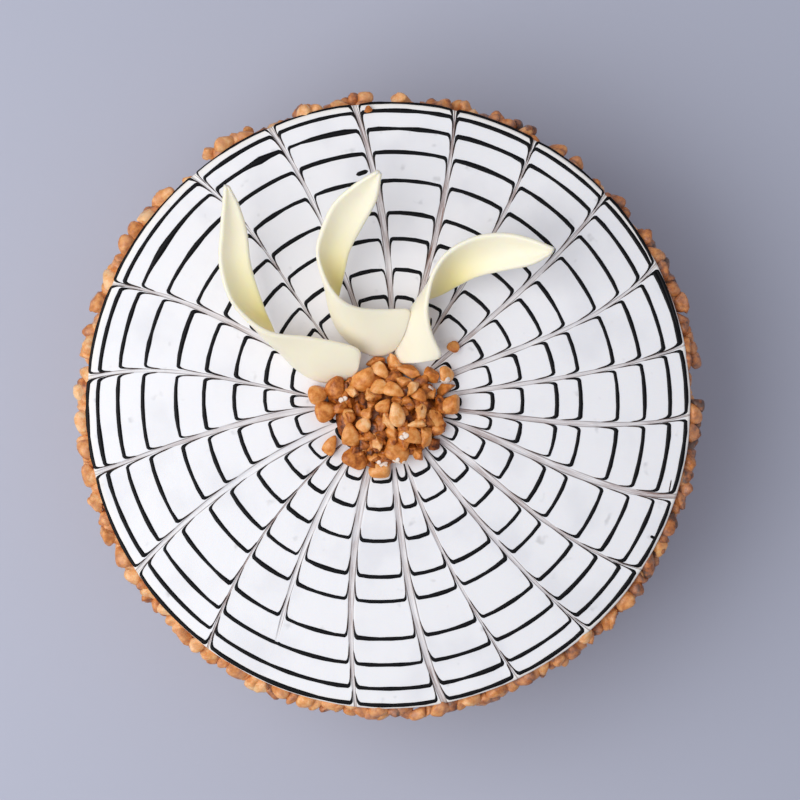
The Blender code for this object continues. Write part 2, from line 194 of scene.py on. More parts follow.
def spokeHalfAngle(count, radius):
    # Half the groove's width as an angle, kept clear of its neighbours near the heap
    width = alongSpoke("halfWidths", count, radius) * mm
    here = spokeAngle(count, radius)
    room = min(spokeAngle(count + 1, radius) - here, here - spokeAngle(count - 1, radius))
    return min(width / max(radius, spokes["innerFade"][0]), spokes["widest"] * room)


def rimRadius(angle):
    shifts = cake["rimShift"]
    place = (angle / fullTurn % 1.0) * len(shifts)
    index = int(place)
    shift = between(shifts[index % len(shifts)], shifts[(index + 1) % len(shifts)],
                    smooth(0.0, 1.0, place - index))
    waver = cake["rimWaver"] * noise.noise(polar(cake["rimWaverFineness"], angle, 0.0))
    return cake["radius"] + shift * mm + waver


def rimDrop(radius, angle):
    soft = cake["rimSoftness"]
    over = min(max(radius - rimRadius(angle) + soft, 0.0), soft)
    return soft - math.sqrt(soft * soft - over * over)


def topHeight(radius, angle, across, strength):
    # across is the distance from the nearest spoke's middle, in half widths of its groove
    ripple = cake["ripple"] * noise.noise(polar(radius, angle, 0.0) / cake["rippleSize"])
    groove = spokes["depth"] * math.exp(-(across / spokes["grooveReach"]) ** 2)
    fromLip = (abs(across) - spokes["lipPlace"]) / spokes["lipReach"]
    lip = spokes["lip"] * math.exp(-fromLip ** 2)
    return cake["height"] + ripple - rimDrop(radius, angle) + strength * (lip - groove)


# Node trees and meshes

def addNode(tree, kind, links=None, **settings):
    node = tree.nodes.new(kind)
    for name, value in settings.items():
        setattr(node, name, value)
    for name, value in (links or {}).items():
        if isinstance(value, bpy.types.NodeSocket):
            tree.links.new(value, node.inputs[name])
        else:
            node.inputs[name].default_value = value
    return node


def calculate(tree, operation, first, second=0.0, third=0.0):
    node = addNode(tree, "ShaderNodeMath", {0: first, 1: second, 2: third}, operation=operation)
    return node.outputs[0]


def mapRange(tree, value, fromLow, fromHigh, toLow=0.0, toHigh=1.0):
    node = addNode(tree, "ShaderNodeMapRange", {
        "Value": value, "From Min": fromLow, "From Max": fromHigh,
        "To Min": toLow, "To Max": toHigh}, interpolation_type="SMOOTHSTEP")
    return node.outputs["Result"]


def mixColour(tree, factor, first, second):
    node = addNode(tree, "ShaderNodeMix", data_type="RGBA")
    for index, value in ((0, factor), (6, first), (7, second)):
        if isinstance(value, bpy.types.NodeSocket):
            tree.links.new(value, node.inputs[index])
        else:
            node.inputs[index].default_value = value if index == 0 else (*value, 1.0)
    return node.outputs[2]


def attributeValue(tree, name):
    return addNode(tree, "ShaderNodeAttribute", attribute_name=name).outputs["Fac"]


def objectPlace(tree):
    return addNode(tree, "ShaderNodeTexCoord").outputs["Object"]


def noiseValue(tree, place, scale, detail=2.0, roughness=0.5):
    node = addNode(tree, "ShaderNodeTexNoise", {
        "Vector": place, "Scale": scale, "Detail": detail, "Roughness": roughness})
    return node.outputs["Fac"]


def addBump(tree, shader, height, strength, depth):
    node = addNode(tree, "ShaderNodeBump", {
        "Height": height, "Strength": strength, "Distance": depth})
    tree.links.new(node.outputs["Normal"], shader.inputs["Normal"])


def newMaterial(name, **constants):
    # Constants are set on the shader's own sockets
    material = bpy.data.materials.new(name)
    material.use_nodes = True
    tree = material.node_tree
    shader = tree.nodes["Principled BSDF"]
    for socket, value in constants.items():
        shader.inputs[socket.replace("_", " ")].default_value = value
    return material, tree, shader


def newGeometryTree(name, inputs):
    tree = bpy.data.node_groups.new(name, "GeometryNodeTree")
    tree.interface.new_socket("Geometry", in_out="OUTPUT", socket_type="NodeSocketGeometry")
    tree.interface.new_socket("Geometry", in_out="INPUT", socket_type="NodeSocketGeometry")
    for label, kind in inputs:
        tree.interface.new_socket(label, in_out="INPUT", socket_type="NodeSocket" + kind)
    source = tree.nodes.new("NodeGroupInput").outputs
    sink = tree.nodes.new("NodeGroupOutput").inputs
    return tree, source, sink


def endTree(tree, sink, geometry, material):
    # Every tree ends with real geometry in its material
    real = addNode(tree, "GeometryNodeRealizeInstances", {"Geometry": geometry})
    coloured = addNode(tree, "GeometryNodeSetMaterial", {
        "Geometry": real.outputs[0], "Material": material})
    tree.links.new(coloured.outputs[0], sink["Geometry"])


def storeValues(mesh, name, values, kind="FLOAT", field="value"):
    mesh.attributes.new(name, kind, "POINT").data.foreach_set(field, values)


def runTree(name, tree, values, mesh=None):
    # Runs a geometry tree on a mesh and keeps the result as a plain mesh at the origin
    piece = bpy.data.objects.new(name, mesh or bpy.data.meshes.new(name))
    bpy.context.scene.collection.objects.link(piece)
    modifier = piece.modifiers.new("Geometry Nodes", "NODES")
    modifier.node_group = tree
    for item in tree.interface.items_tree:
        if item.in_out == "INPUT" and item.name in values:
            modifier[item.identifier] = values[item.name]
    evaluated = piece.evaluated_get(bpy.context.evaluated_depsgraph_get())
    made = bpy.data.meshes.new_from_object(evaluated)
    piece.modifiers.remove(modifier)
    piece.data = made
    return piece


def newPiece(name, data, materials):
    # data is a bmesh or a mesh
    if isinstance(data, bmesh.types.BMesh):
        mesh = bpy.data.meshes.new(name)
        data.to_mesh(mesh)
        data.free()
    else:
        mesh = data
    for material in materials:
        mesh.materials.append(material)
    piece = bpy.data.objects.new(name, mesh)
    bpy.context.scene.collection.objects.link(piece)
    return piece


def dress(piece, slot, *nodes):
    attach(piece, "root")
    if nodes:
        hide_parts(*nodes)


# Icing: the whole cake, with its grooves cut into the top

icing = {
    "lanes": (-2.6, -1.7, -1.25, -1.0, -0.75, -0.4, 0.0, 0.4, 0.75, 1.0, 1.25, 1.7, 2.6),
    "farLane": 3.0,  # across value of everything between two spokes
    "lanesBetween": 5,
    "ringStep": 1.7 * mm,
    "innerRing": 12.0 * mm,
    "rimSteps": 5,
    "sideStep": 3.4 * mm,
    "white": (0.865, 0.853, 0.852),
    "shade": (0.77, 0.762, 0.775),
    "cream": (0.90, 0.84, 0.75),
    "streak": (0.26, 0.145, 0.115),
    "smudge": (0.46, 0.45, 0.45),
    "edge": (0.07, 0.032, 0.022),
    "roughness": 0.42,
    "glow": 1.5 * mm,  # how far light travels inside
    "glowShare": 0.12,
    "glowColour": (1.0, 0.85, 0.7),
    # Noises: how fine they are, then where each starts and ends and what that gives
    "mottleScale": 55.0,
    "mottle": (0.45, 0.75, 0.0, 0.8),
    "smudgeScale": 170.0,
    "smudges": (0.66, 0.8, 0.0, 0.55),
    "streakStretch": (2.4, 7.0),  # across and along a groove
    "streakScale": 1.6,
    "streaks": (0.35, 0.65, 0.25, 1.15),
    "edgeScale": 0.9,
    "edgeBreaks": (0.32, 0.52, 0.0, 0.78),
    "grainScale": 240.0,
    "bump": (0.25, 0.25 * mm),  # strength and depth
    # Across a groove, in half widths: where its inside ends and its edge line lies
    "inside": (1.15, 0.85),
    "edgePlace": 0.95,
    "edgeReach": (0.28, 0.05),
    "streaksEnd": (1.2 * mm, 0.9 * mm),  # how far below the top
    "mapLength": 0.95,  # a spoke's length in its map
    # Cream shows from here down the side, and thinly on the last of the top
    "creamBelow": (0.2 * mm, 1.0 * mm),
    "creamInside": (-1.9 * mm, -0.6 * mm),
    "creamInsideShare": 0.7,
    "rimShiftFrom": 0.85,  # share of the radius where the rim's unevenness begins
    "bulgeFade": (6.0 * mm, 3.0 * mm),  # at the top and at the base
}


def makeIcingMaterial():
    material, tree, shader = newMaterial(
        "whippedIcing", Roughness=icing["roughness"], Subsurface_Weight=icing["glowShare"],
        Subsurface_Radius=icing["glowColour"], Subsurface_Scale=icing["glow"])
    place = objectPlace(tree)
    spokeMap = addNode(tree, "ShaderNodeUVMap", uv_map="spokeMap").outputs["UV"]
    lane = addNode(tree, "ShaderNodeSeparateXYZ", {"Vector": spokeMap})
    across, along = lane.outputs["X"], lane.outputs["Y"]
    offset = calculate(tree, "ABSOLUTE", across)

    mottle = mapRange(tree, noiseValue(tree, place, icing["mottleScale"], 3.0),
                      *icing["mottle"])
    colour = mixColour(tree, mottle, icing["white"], icing["shade"])
    smudge = mapRange(tree, noiseValue(tree, place, icing["smudgeScale"]), *icing["smudges"])
    colour = mixColour(tree, smudge, colour, icing["smudge"])
    height = addNode(tree, "ShaderNodeSeparateXYZ", {"Vector": place}).outputs["Z"]
    colour = mixColour(tree, attributeValue(tree, "rim"), colour, icing["cream"])

    # The gel that the knife dragged along: streaks in the groove, a thin line at its edges
    stretch = icing["streakStretch"]
    stretched = addNode(tree, "ShaderNodeCombineXYZ", {
        "X": calculate(tree, "MULTIPLY", across, stretch[0]),
        "Y": calculate(tree, "MULTIPLY", along, stretch[1])}).outputs["Vector"]
    streaks = noiseValue(tree, stretched, icing["streakScale"], 3.0, 0.6)
    inside = mapRange(tree, offset, *icing["inside"])
    topShare = mapRange(tree, height, *[cake["height"] - below for below in icing["streaksEnd"]])
    knife = calculate(tree, "MULTIPLY", attributeValue(tree, "knife"), topShare)
    inside = calculate(tree, "MULTIPLY", inside, knife)
    streakShare = calculate(tree, "MULTIPLY", inside, attributeValue(tree, "gel"))
    streakShare = calculate(tree, "MULTIPLY", streakShare,
                            mapRange(tree, streaks, *icing["streaks"]))
    colour = mixColour(tree, streakShare, colour, icing["streak"])
    fromEdge = calculate(tree, "SUBTRACT", offset, icing["edgePlace"])
    fromEdge = calculate(tree, "ABSOLUTE", fromEdge)
    edgeBreaks = mapRange(tree, noiseValue(tree, stretched, icing["edgeScale"], 1.0),
                          *icing["edgeBreaks"])
    edgeShare = calculate(tree, "MULTIPLY", mapRange(tree, fromEdge, *icing["edgeReach"]),
                          edgeBreaks)
    edgeShare = calculate(tree, "MULTIPLY", edgeShare, knife)
    colour = mixColour(tree, edgeShare, colour, icing["edge"])
    tree.links.new(colour, shader.inputs["Base Color"])

    grain = calculate(tree, "ADD", noiseValue(tree, place, icing["grainScale"], 3.0),
                      calculate(tree, "MULTIPLY", streaks, inside))
    addBump(tree, shader, grain, *icing["bump"])
    return material


def icingColumns():
    # Lines from the middle to the rim, as (spoke, lane across it, share of the way on)
    columns = []
    for spoke in range(spokeCount):
        columns += [(spoke, lane, 0.0) for lane in icing["lanes"]]
        columns += [(spoke, icing["farLane"], (step + 1) / (icing["lanesBetween"] + 1))
                    for step in range(icing["lanesBetween"])]
    return columns


def columnAngles(columns, radius):
    edgeLane = icing["lanes"][-1]
    middles = [spokeAngle(spoke, radius) for spoke in range(spokeCount + 1)]
    halves = [spokeHalfAngle(spoke, radius) for spoke in range(spokeCount + 1)]
    angles = []
    for spoke, lane, share in columns:
        if share == 0.0:
            angles.append(middles[spoke] + lane * halves[spoke])
        else:
            start = middles[spoke] + edgeLane * halves[spoke]
            end = middles[spoke + 1] - edgeLane * halves[spoke + 1]
            angles.append(between(start, end, share))
    return angles


def icingRings(columns):
    # Rings of points from the middle of the top, over the rim and down the side to the base
    radius, soft = cake["radius"], cake["rimSoftness"]
    steps = round((radius - soft - icing["innerRing"]) / icing["ringStep"])
    radii = [between(icing["innerRing"], radius - soft, step / steps)
             for step in range(steps + 1)]
    radii += [radius - soft + soft * math.sin(0.5 * math.pi * step / icing["rimSteps"])
              for step in range(1, icing["rimSteps"])]
    rings = []
    for ringRadius in radii:
        ring = []
        outwards = smooth(icing["rimShiftFrom"] * radius, radius - soft, ringRadius)
        for column, angle in zip(columns, columnAngles(columns, ringRadius)):
            strength = spokeStrength(column[0], ringRadius)
            placeRadius = ringRadius + outwards * (rimRadius(angle) - radius)
            height = topHeight(placeRadius, angle, column[1], strength)
            ring.append(polar(placeRadius, angle, height))
        rings.append(ring)
    top, bottom = cake["height"] - soft, cake["baseSoftness"]
    fadeTop, fadeBase = icing["bulgeFade"]
    sideSteps = round((top - bottom) / icing["sideStep"])
    angles = columnAngles(columns, radius)
    for step in range(sideSteps + 1):
        height = between(top, bottom, step / sideSteps)
        ease = smooth(top, top - fadeTop, height) * smooth(bottom, bottom + fadeBase, height)
        ring = []
        for angle in angles:
            wave = noise.noise(polar(radius, angle, height) / cake["bulgeSize"])
            ring.append(polar(rimRadius(angle) + ease * cake["bulge"] * wave, angle, height))
        rings.append(ring)
    rings.append([polar(rimRadius(angle) - cake["baseSoftness"], angle, 0.0)
                  for angle in angles])
    return rings


def makeIcing():
    columns = icingColumns()
    rings = icingRings(columns)
    wide = len(columns)
    points = [point for ring in rings for point in ring]
    points += [Vector((0.0, 0.0, cake["height"])), Vector((0.0, 0.0, 0.0))]
    topMiddle, baseMiddle = len(points) - 2, len(points) - 1
    lastRing = wide * (len(rings) - 1)
    faces, spokeMap = [], []
    for index, (spoke, lane, share) in enumerate(columns):
        following = (index + 1) % wide
        # Past half way a face belongs to the next spoke, so that no streak runs between two
        nextLane = columns[following][1]
        if share >= 0.5:
            spoke, lane = spoke + 1, -icing["farLane"]
            nextLane = min(nextLane, -icing["lanes"][-1])
        for row in range(len(rings) - 1):
            inner, outer = wide * row, wide * (row + 1)
            faces.append((inner + index, outer + index, outer + following, inner + following))
            for number, across in ((inner + index, lane), (outer + index, lane),
                                   (outer + following, nextLane),
                                   (inner + following, nextLane)):
                reach = min(points[number].xy.length / cake["radius"], 1.0)
                spokeMap.append((across, spoke % spokeCount + icing["mapLength"] * reach))
        faces.append((topMiddle, index, following))
        faces.append((lastRing + index, baseMiddle, lastRing + following))
        spokeMap += [(icing["farLane"], 0.0)] * 6
    mesh = bpy.data.meshes.new("icing")
    mesh.from_pydata(points, [], faces)
    near = [(spoke + (share >= 0.5), point.xy.length)
            for ring in rings for (spoke, _, share), point in zip(columns, ring)]
    for name, amount in (("gel", draggedGel), ("knife", spokeStrength)):
        storeValues(mesh, name, [amount(*place) for place in near] + [0.0, 0.0])
    cream = []
    for point in points[:-2]:
        out = point.xy.length - rimRadius(math.atan2(point.y, point.x))
        below = smooth(*icing["creamBelow"], cake["height"] - point.z)
        cream.append(max(below, icing["creamInsideShare"] * smooth(*icing["creamInside"], out)))
    storeValues(mesh, "rim", cream + [1.0, 0.0])
    layer = mesh.uv_layers.new(name="spokeMap")
    layer.data.foreach_set("uv", [number for pair in spokeMap for number in pair])
    mesh.shade_smooth()
    piece = newPiece("icing", mesh, [makeIcingMaterial()])
    dress(piece, "icing", "cake")
    print("icing:", len(mesh.polygons), "faces")


# Gel web: one line wound inwards, pulled in at each spoke, with its radius in mm at every
# eighth of a turn

web = {
    "turns": (
        (98.2, 100.2, 100.1, 100.2, 99.8, 99.4, 99.0, 98.1),
        (98.2, 98.1, 97.7, 97.3, 96.5, 94.8, 93.5, 93.0),
        (92.8, 92.6, 91.7, 91.8, 89.8, 87.8, 85.6, 85.0),
        (84.4, 84.5, 84.0, 83.3, 81.6, 79.2, 77.0, 75.9),
        (75.5, 75.2, 74.6, 73.3, 70.6, 67.5, 64.6, 63.3),
        (63.3, 64.0, 64.0, 63.0, 61.4, 58.7, 56.5, 55.5),
        (55.4, 55.9, 55.4, 53.7, 51.3, 47.6, 44.6, 43.5),
        (44.0, 45.4, 45.3, 43.9, 41.1, 36.9, 34.1, 33.2),
        (34.1, 35.6, 36.3, 35.7, 32.1, 27.9, 24.9, 24.2),
        (23.5, 23.8, 24.0, 22.3, 20.5, 18.5, 16.5, 14.8),
        (13.0, 12.8, 12.5, 12.2, 12.0, 11.8, 11.5, 11.5),
    ),
    "halfWidth": 0.67 * mm,
    "rise": 0.38,  # height of the line, times its half width
    "sides": 8,
    "pull": (4.0 * mm, 9.5 * mm),  # how far a line's ends are dragged inwards
    "corner": 0.36 * mm,
    "roomyGap": 8.0,  # in corners: narrower gaps between spokes get tighter corners
    # Points along a corner, as the share of the pull that is left there
    "cornerPoints": (1.0, 0.8, 0.62, 0.47, 0.34, 0.24, 0.16, 0.1, 0.055, 0.02),
    "step": 3.5 * mm,
    "taper": 1.1 * mm,
    "taperPower": 2.2,
    "tail": 0.27,  # a tail's width against the line's
    "tailFades": 0.45,  # share of the longest pull where a tail starts to thin out
    "thinnest": 0.1,
    "pointed": 0.3,  # width of the very end against what comes before
    "unevenness": 0.22,
    "unevenSize": 7.0 * mm,
    "innerRadius": 17.0 * mm,
    # Thick places: degrees, turn, extra half width and length
    "blots": ((117.6, 2, 0.68 * mm, 3.4 * mm), (145.0, 2, 0.42 * mm, 6.0 * mm),
              (108.5, 2, -0.22 * mm, 4.0 * mm), (100.6, 2, 0.32 * mm, 4.5 * mm),
              (141.1, 3, 0.32 * mm, 2.2 * mm), (161.2, 2, 0.25 * mm, 2.6 * mm),
              (122.0, 0, -0.20 * mm, 55.0 * mm), (30.0, 0, -0.12 * mm, 30.0 * mm)),
    # Stray dabs: degrees and radius of both ends, half width
    "dabs": ((180.7, 100.1, 181.5, 100.1, 0.55 * mm), (343.3, 96.6, 344.6, 96.4, 0.22 * mm),
             (333.5, 97.6, 333.5, 96.8, 0.5 * mm), (97.4, 77.4, 96.0, 77.8, 0.75 * mm),
             (63.2, 30.4, 64.2, 31.6, 0.3 * mm), (243.9, 86.95, 245.0, 86.8, 0.5 * mm)),
    # A dab's width along its length, which runs past both ends
    "dabSwell": ((-0.6, 0.1), (-0.3, 0.8), (0.0, 1.0), (0.5, 1.0), (1.0, 1.0), (1.3, 0.8),
                 (1.6, 0.1)),
    "seed": 5,
    "black": (0.0035, 0.0033, 0.004),
    "brown": (0.075, 0.045, 0.035),
    "brownWidths": (0.35 * mm, 0.12 * mm),  # half widths where brown starts and is full
    "roughness": 0.4,
    "gloss": 0.12,
    "rippleScale": 500.0,
    "bump": (0.2, 0.1 * mm),
}


def makeGelMaterial():
    material, tree, shader = newMaterial(
        "blackGel", Roughness=web["roughness"], Specular_IOR_Level=web["gloss"])
    thin = mapRange(tree, attributeValue(tree, "halfWidth"), *web["brownWidths"])
    tree.links.new(mixColour(tree, thin, web["black"], web["brown"]), shader.inputs["Base Color"])
    ripple = noiseValue(tree, objectPlace(tree), web["rippleScale"])
    addBump(tree, shader, ripple, *web["bump"])
    return material


def webRadius(angle):
    radii = [radius * mm for turn in web["turns"] for radius in turn]
    place = max(len(web["turns"][0]) * angle / fullTurn, 0.0)
    index = min(int(place), len(radii) - 2)
    return between(radii[index], radii[index + 1], min(place - index, 1.0))


def strokePoints(left, right, draw):
    # One stretch of the line between two spokes, as (place, half width) from tail to tail
    start = webRadius(spokeAngle(left, cake["radius"]))
    leftAngle = spokeAngle(left, start) + spokeHalfAngle(left, start)
    rightAngle = spokeAngle(right, start) - spokeHalfAngle(right, start)
    gap = (rightAngle - leftAngle) * start
    corner = min(web["corner"], gap / web["roomyGap"])
    leftPull = draw.uniform(*web["pull"]) * spokeStrength(left, start)
    rightPull = draw.uniform(*web["pull"]) * spokeStrength(right, start)
    near = [corner * math.log(1.0 / share) for share in web["cornerPoints"]]
    steps = max(2, round((gap - 2.0 * near[-1]) / web["step"]))
    middle = [between(near[-1], gap - near[-1], step / steps) for step in range(1, steps)]
    points = []
    for distance in near + middle + [gap - step for step in reversed(near)]:
        share = distance / gap
        pull = leftPull * math.exp(-distance / corner)
        pull += rightPull * math.exp(-(gap - distance) / corner)
        radius = webRadius(between(leftAngle, rightAngle, share)) - pull
        leftEdge = spokeAngle(left, radius) + spokeHalfAngle(left, radius)
        rightEdge = spokeAngle(right, radius) - spokeHalfAngle(right, radius)
        angle = between(leftEdge, rightEdge, share)
        close, away = (left, share) if share < 0.5 else (right, 1.0 - share)
        across = 1.0 + away * (rightEdge - leftEdge) / spokeHalfAngle(close, radius)
        height = topHeight(radius, angle, across, spokeStrength(close, radius))
        place = polar(radius, angle, height)
        wave = noise.noise(place / web["unevenSize"] + Vector((0.0, 0.0, left)))
        width = web["halfWidth"] * (1.0 + web["unevenness"] * 2.0 * wave)
        for degrees, turn, extra, length in web["blots"]:
            apart = (angle - math.radians(degrees + 360.0 * turn)) * radius
            width += extra * math.exp(-(apart / length) ** 2)
        whole = 1.0 / (1.0 + (pull / web["taper"]) ** web["taperPower"])
        faded = smooth(web["tailFades"], 1.0, pull / web["pull"][1])
        points.append((place, width * between(between(web["tail"], 1.0, whole),
                                              web["thinnest"], faded)))
    for end in (0, -1):
        place, width = points[end]
        points[end] = (place, web["pointed"] * width)
    return points


def lineMesh(strokes):
    # Loose edges with the line's half width stored on their points
    places, edges, widths = [], [], []
    for stroke in strokes:
        edges += [(len(places) + step, len(places) + step + 1)
                  for step in range(len(stroke) - 1)]
        places += [place for place, _ in stroke]
        widths += [width for _, width in stroke]
    mesh = bpy.data.meshes.new("webPath")
    mesh.from_pydata(places, edges, [])
    storeValues(mesh, "halfWidth", widths)
    return mesh


def pipedLineTree():
    tree, source, sink = newGeometryTree("pipedLine", (
        ("Rise", "Float"), ("Sides", "Int"), ("Gel", "Material")))
    curve = addNode(tree, "GeometryNodeMeshToCurve", {"Mesh": source["Geometry"]})
    upright = addNode(tree, "GeometryNodeSetCurveNormal", {"Curve": curve.outputs[0]},
                      mode="Z_UP")
    circle = addNode(tree, "GeometryNodeCurvePrimitiveCircle", {
        "Resolution": source["Sides"], "Radius": 1.0})
    flat = addNode(tree, "ShaderNodeCombineXYZ", {"X": 1.0, "Y": source["Rise"], "Z": 1.0})
    section = addNode(tree, "GeometryNodeTransform", {
        "Geometry": circle.outputs[0], "Scale": flat.outputs[0]})
    width = addNode(tree, "GeometryNodeInputNamedAttribute", {"Name": "halfWidth"},
                    data_type="FLOAT")
    line = addNode(tree, "GeometryNodeCurveToMesh", {
        "Curve": upright.outputs[0], "Profile Curve": section.outputs[0],
        "Scale": width.outputs["Attribute"], "Fill Caps": True})
    smoothed = addNode(tree, "GeometryNodeSetShadeSmooth", {"Geometry": line.outputs[0]})
    endTree(tree, sink, smoothed.outputs[0], source["Gel"])
    return tree


def makeWeb():
    draw = random.Random(web["seed"])
    strokes = []
    count = 0
    while webRadius(spokeAngle(count, cake["radius"])) > web["innerRadius"]:
        following = count + 1
        radius = webRadius(spokeAngle(following, cake["radius"]))
        if following % spokeCount == spokes["shortOne"] and radius > spokes["shortFade"][0]:
            following += 1
        strokes.append(strokePoints(count, following, draw))
        count = following
    for firstAngle, firstRadius, lastAngle, lastRadius, width in web["dabs"]:
        dab = []
        for share, swell in web["dabSwell"]:
            angle = math.radians(between(firstAngle, lastAngle, share))
            radius = between(firstRadius, lastRadius, share) * mm
            place = polar(radius, angle, topHeight(radius, angle, icing["farLane"], 0.0))
            dab.append((place, width * swell))
        strokes.append(dab)
    piece = runTree("gelWeb", pipedLineTree(), {
        "Rise": web["rise"], "Sides": web["sides"], "Gel": makeGelMaterial()},
        lineMesh(strokes))
    dress(piece, "gel")
    print("gel web:", len(strokes), "strokes,", len(piece.data.polygons), "faces")


# Chip shapes, one unit across, kept in a hidden collection for the geometry trees

chipShapes = {
    # How many, flats on each, sharpness of the edges between flats, unevenness
    "nuts": (4, 8, 4.5, 0.04),
    "chips": (8, 13, 19.0, 0.10),
    "flats": (0.26, 0.46),  # how far the flats lie from the middle
    "ball": 1.65,  # the ball is one over this in radius
    "lumps": 2.2,  # how fine the unevenness is, and a second, finer one
    "fineLumps": 7.0,
    "fineShare": 0.4,
    "variety": 50.0,  # how far the shapes lie apart in the noise
    "seed": 11,
}


def lumpShape(draw, detail, flats, sharpness, unevenness):
    # A ball cut back by flats at random, smoothly where the sharpness is low
    data = bmesh.new()
    bmesh.ops.create_icosphere(data, subdivisions=detail, radius=1.0)
    shift = Vector([draw.uniform(0.0, chipShapes["variety"]) for _ in range(3)])
    planes = []
    for _ in range(flats):
        normal = Vector([draw.gauss(0.0, 1.0) for _ in range(3)]).normalized()
        planes.append(normal / draw.uniform(*chipShapes["flats"]))
    for vert in data.verts:
        push = chipShapes["ball"] ** sharpness
        for plane in planes:
            push += max(vert.co.dot(plane), 0.0) ** sharpness
        rough = noise.noise(vert.co * chipShapes["lumps"] + shift)
        rough += chipShapes["fineShare"] * noise.noise(vert.co * chipShapes["fineLumps"] + shift)
        vert.co *= push ** (-1.0 / sharpness) * (1.0 + unevenness * rough)
    for axis in range(3):
        low = min(vert.co[axis] for vert in data.verts)
        high = max(vert.co[axis] for vert in data.verts)
        for vert in data.verts:
            vert.co[axis] = (vert.co[axis] - low) / (high - low) - 0.5
    return data


def makeChipShapes(name, detail):
    # The order of the shapes is the order of their names
    draw = random.Random(chipShapes["seed"])
    collection = bpy.data.collections.new(name)
    for kind in ("nuts", "chips"):
        count, *looks = chipShapes[kind]
        for _ in range(count):
            mesh = bpy.data.meshes.new("chipShape")
            data = lumpShape(draw, detail, *looks)
            data.to_mesh(mesh)
            data.free()
            mesh.shade_smooth()
            index = len(collection.objects)
            collection.objects.link(bpy.data.objects.new(f"{name}{index:02d}", mesh))
    return collection


chipFinish = {
    "tones": ((0.0, (0.06, 0.011, 0.001)), (0.25, (0.37, 0.095, 0.011)),
              (0.5, (0.63, 0.215, 0.038)), (0.75, (0.79, 0.35, 0.10)),
              (1.0, (0.91, 0.54, 0.26))),
    "roughness": 0.40,
    "gloss": 0.3,
    "coat": 0.15,
    "coatRoughness": 0.15,
    "glow": 1.2 * mm,  # how far light travels inside
    "glowShare": 0.15,
    "glowColour": (1.0, 0.4, 0.15),
    "cream": (0.84, 0.70, 0.585),
    "creamFilm": 0.105,  # how much cream stays on chips that were pressed into it
    # Noises: how fine they are, where they start and end, and what a patch adds to the tone
    "patchScale": 420.0,
    "patches": (0.25, 0.75, -0.26, 0.26),
    "smearScale": 260.0,
    "smears": (0.35, 0.65),
    "smearFilms": (0.5, 1.5),  # the thinnest and the thickest film, against the usual one
    "grainScale": 900.0,
    "bump": (0.5, 0.35 * mm),
}


def makeChipMaterial(name, film):
    material, tree, shader = newMaterial(
        name, Roughness=chipFinish["roughness"], Specular_IOR_Level=chipFinish["gloss"],
        Coat_Weight=chipFinish["coat"], Coat_Roughness=chipFinish["coatRoughness"],
        Subsurface_Weight=chipFinish["glowShare"], Subsurface_Scale=chipFinish["glow"],
        Subsurface_Radius=chipFinish["glowColour"])
    place = objectPlace(tree)
    patches = mapRange(tree, noiseValue(tree, place, chipFinish["patchScale"], 4.0, 0.6),
                       *chipFinish["patches"])
    tone = calculate(tree, "ADD", attributeValue(tree, "chipTone"), patches)
    ramp = addNode(tree, "ShaderNodeValToRGB", {"Fac": tone})
    stops = ramp.color_ramp.elements
    while len(stops) < len(chipFinish["tones"]):
        stops.new(0.5)
    for stop, (position, colour) in zip(stops, chipFinish["tones"]):
        stop.position = position
        stop.color = (*colour, 1.0)
    smear = mapRange(tree, noiseValue(tree, place, chipFinish["smearScale"], 3.0),
                     *chipFinish["smears"], *[share * film for share in chipFinish["smearFilms"]])
    tree.links.new(mixColour(tree, smear, ramp.outputs["Color"], chipFinish["cream"]),
                   shader.inputs["Base Color"])
    grain = noiseValue(tree, place, chipFinish["grainScale"], 3.0, 0.6)
    addBump(tree, shader, grain, *chipFinish["bump"])
    return material


# Side chips: scattered over the wall by a geometry tree

side = {
    "spacing": 4.8 * mm,
    "wallTop": 68.0 * mm,
    "wallBottom": 3.2 * mm,
    "smallest": (4.6 * mm, 4.6 * mm, 4.0 * mm),
    "largest": (7.2 * mm, 7.2 * mm, 5.6 * mm),
    "sinks": 1.6 * mm,  # how far in a chip's middle may lie
    "standsOutAtTop": 0.3 * mm,
    "standsOutAtBase": 2.2 * mm,
    "askew": 0.5,  # how far each may be tipped, in radians
    "tones": (0.2, 0.8),
    "wallSides": 128,
    "densest": 90000.0,  # points on a square metre before the spacing thins them out
    "seed": 3,
}


def randomValue(tree, source, low, high, seed, kind="FLOAT"):
    # Each use adds its own number to the tree's seed
    node = addNode(tree, "FunctionNodeRandomValue", data_type=kind)
    values = {socket.name: socket for socket in node.inputs if socket.enabled}
    for name, value in (("Min", low), ("Max", high)):
        if isinstance(value, bpy.types.NodeSocket):
            tree.links.new(value, values[name])
        else:
            values[name].default_value = value
    tree.links.new(calculate(tree, "ADD", source["Seed"], seed), values["Seed"])
    return next(socket for socket in node.outputs if socket.enabled)


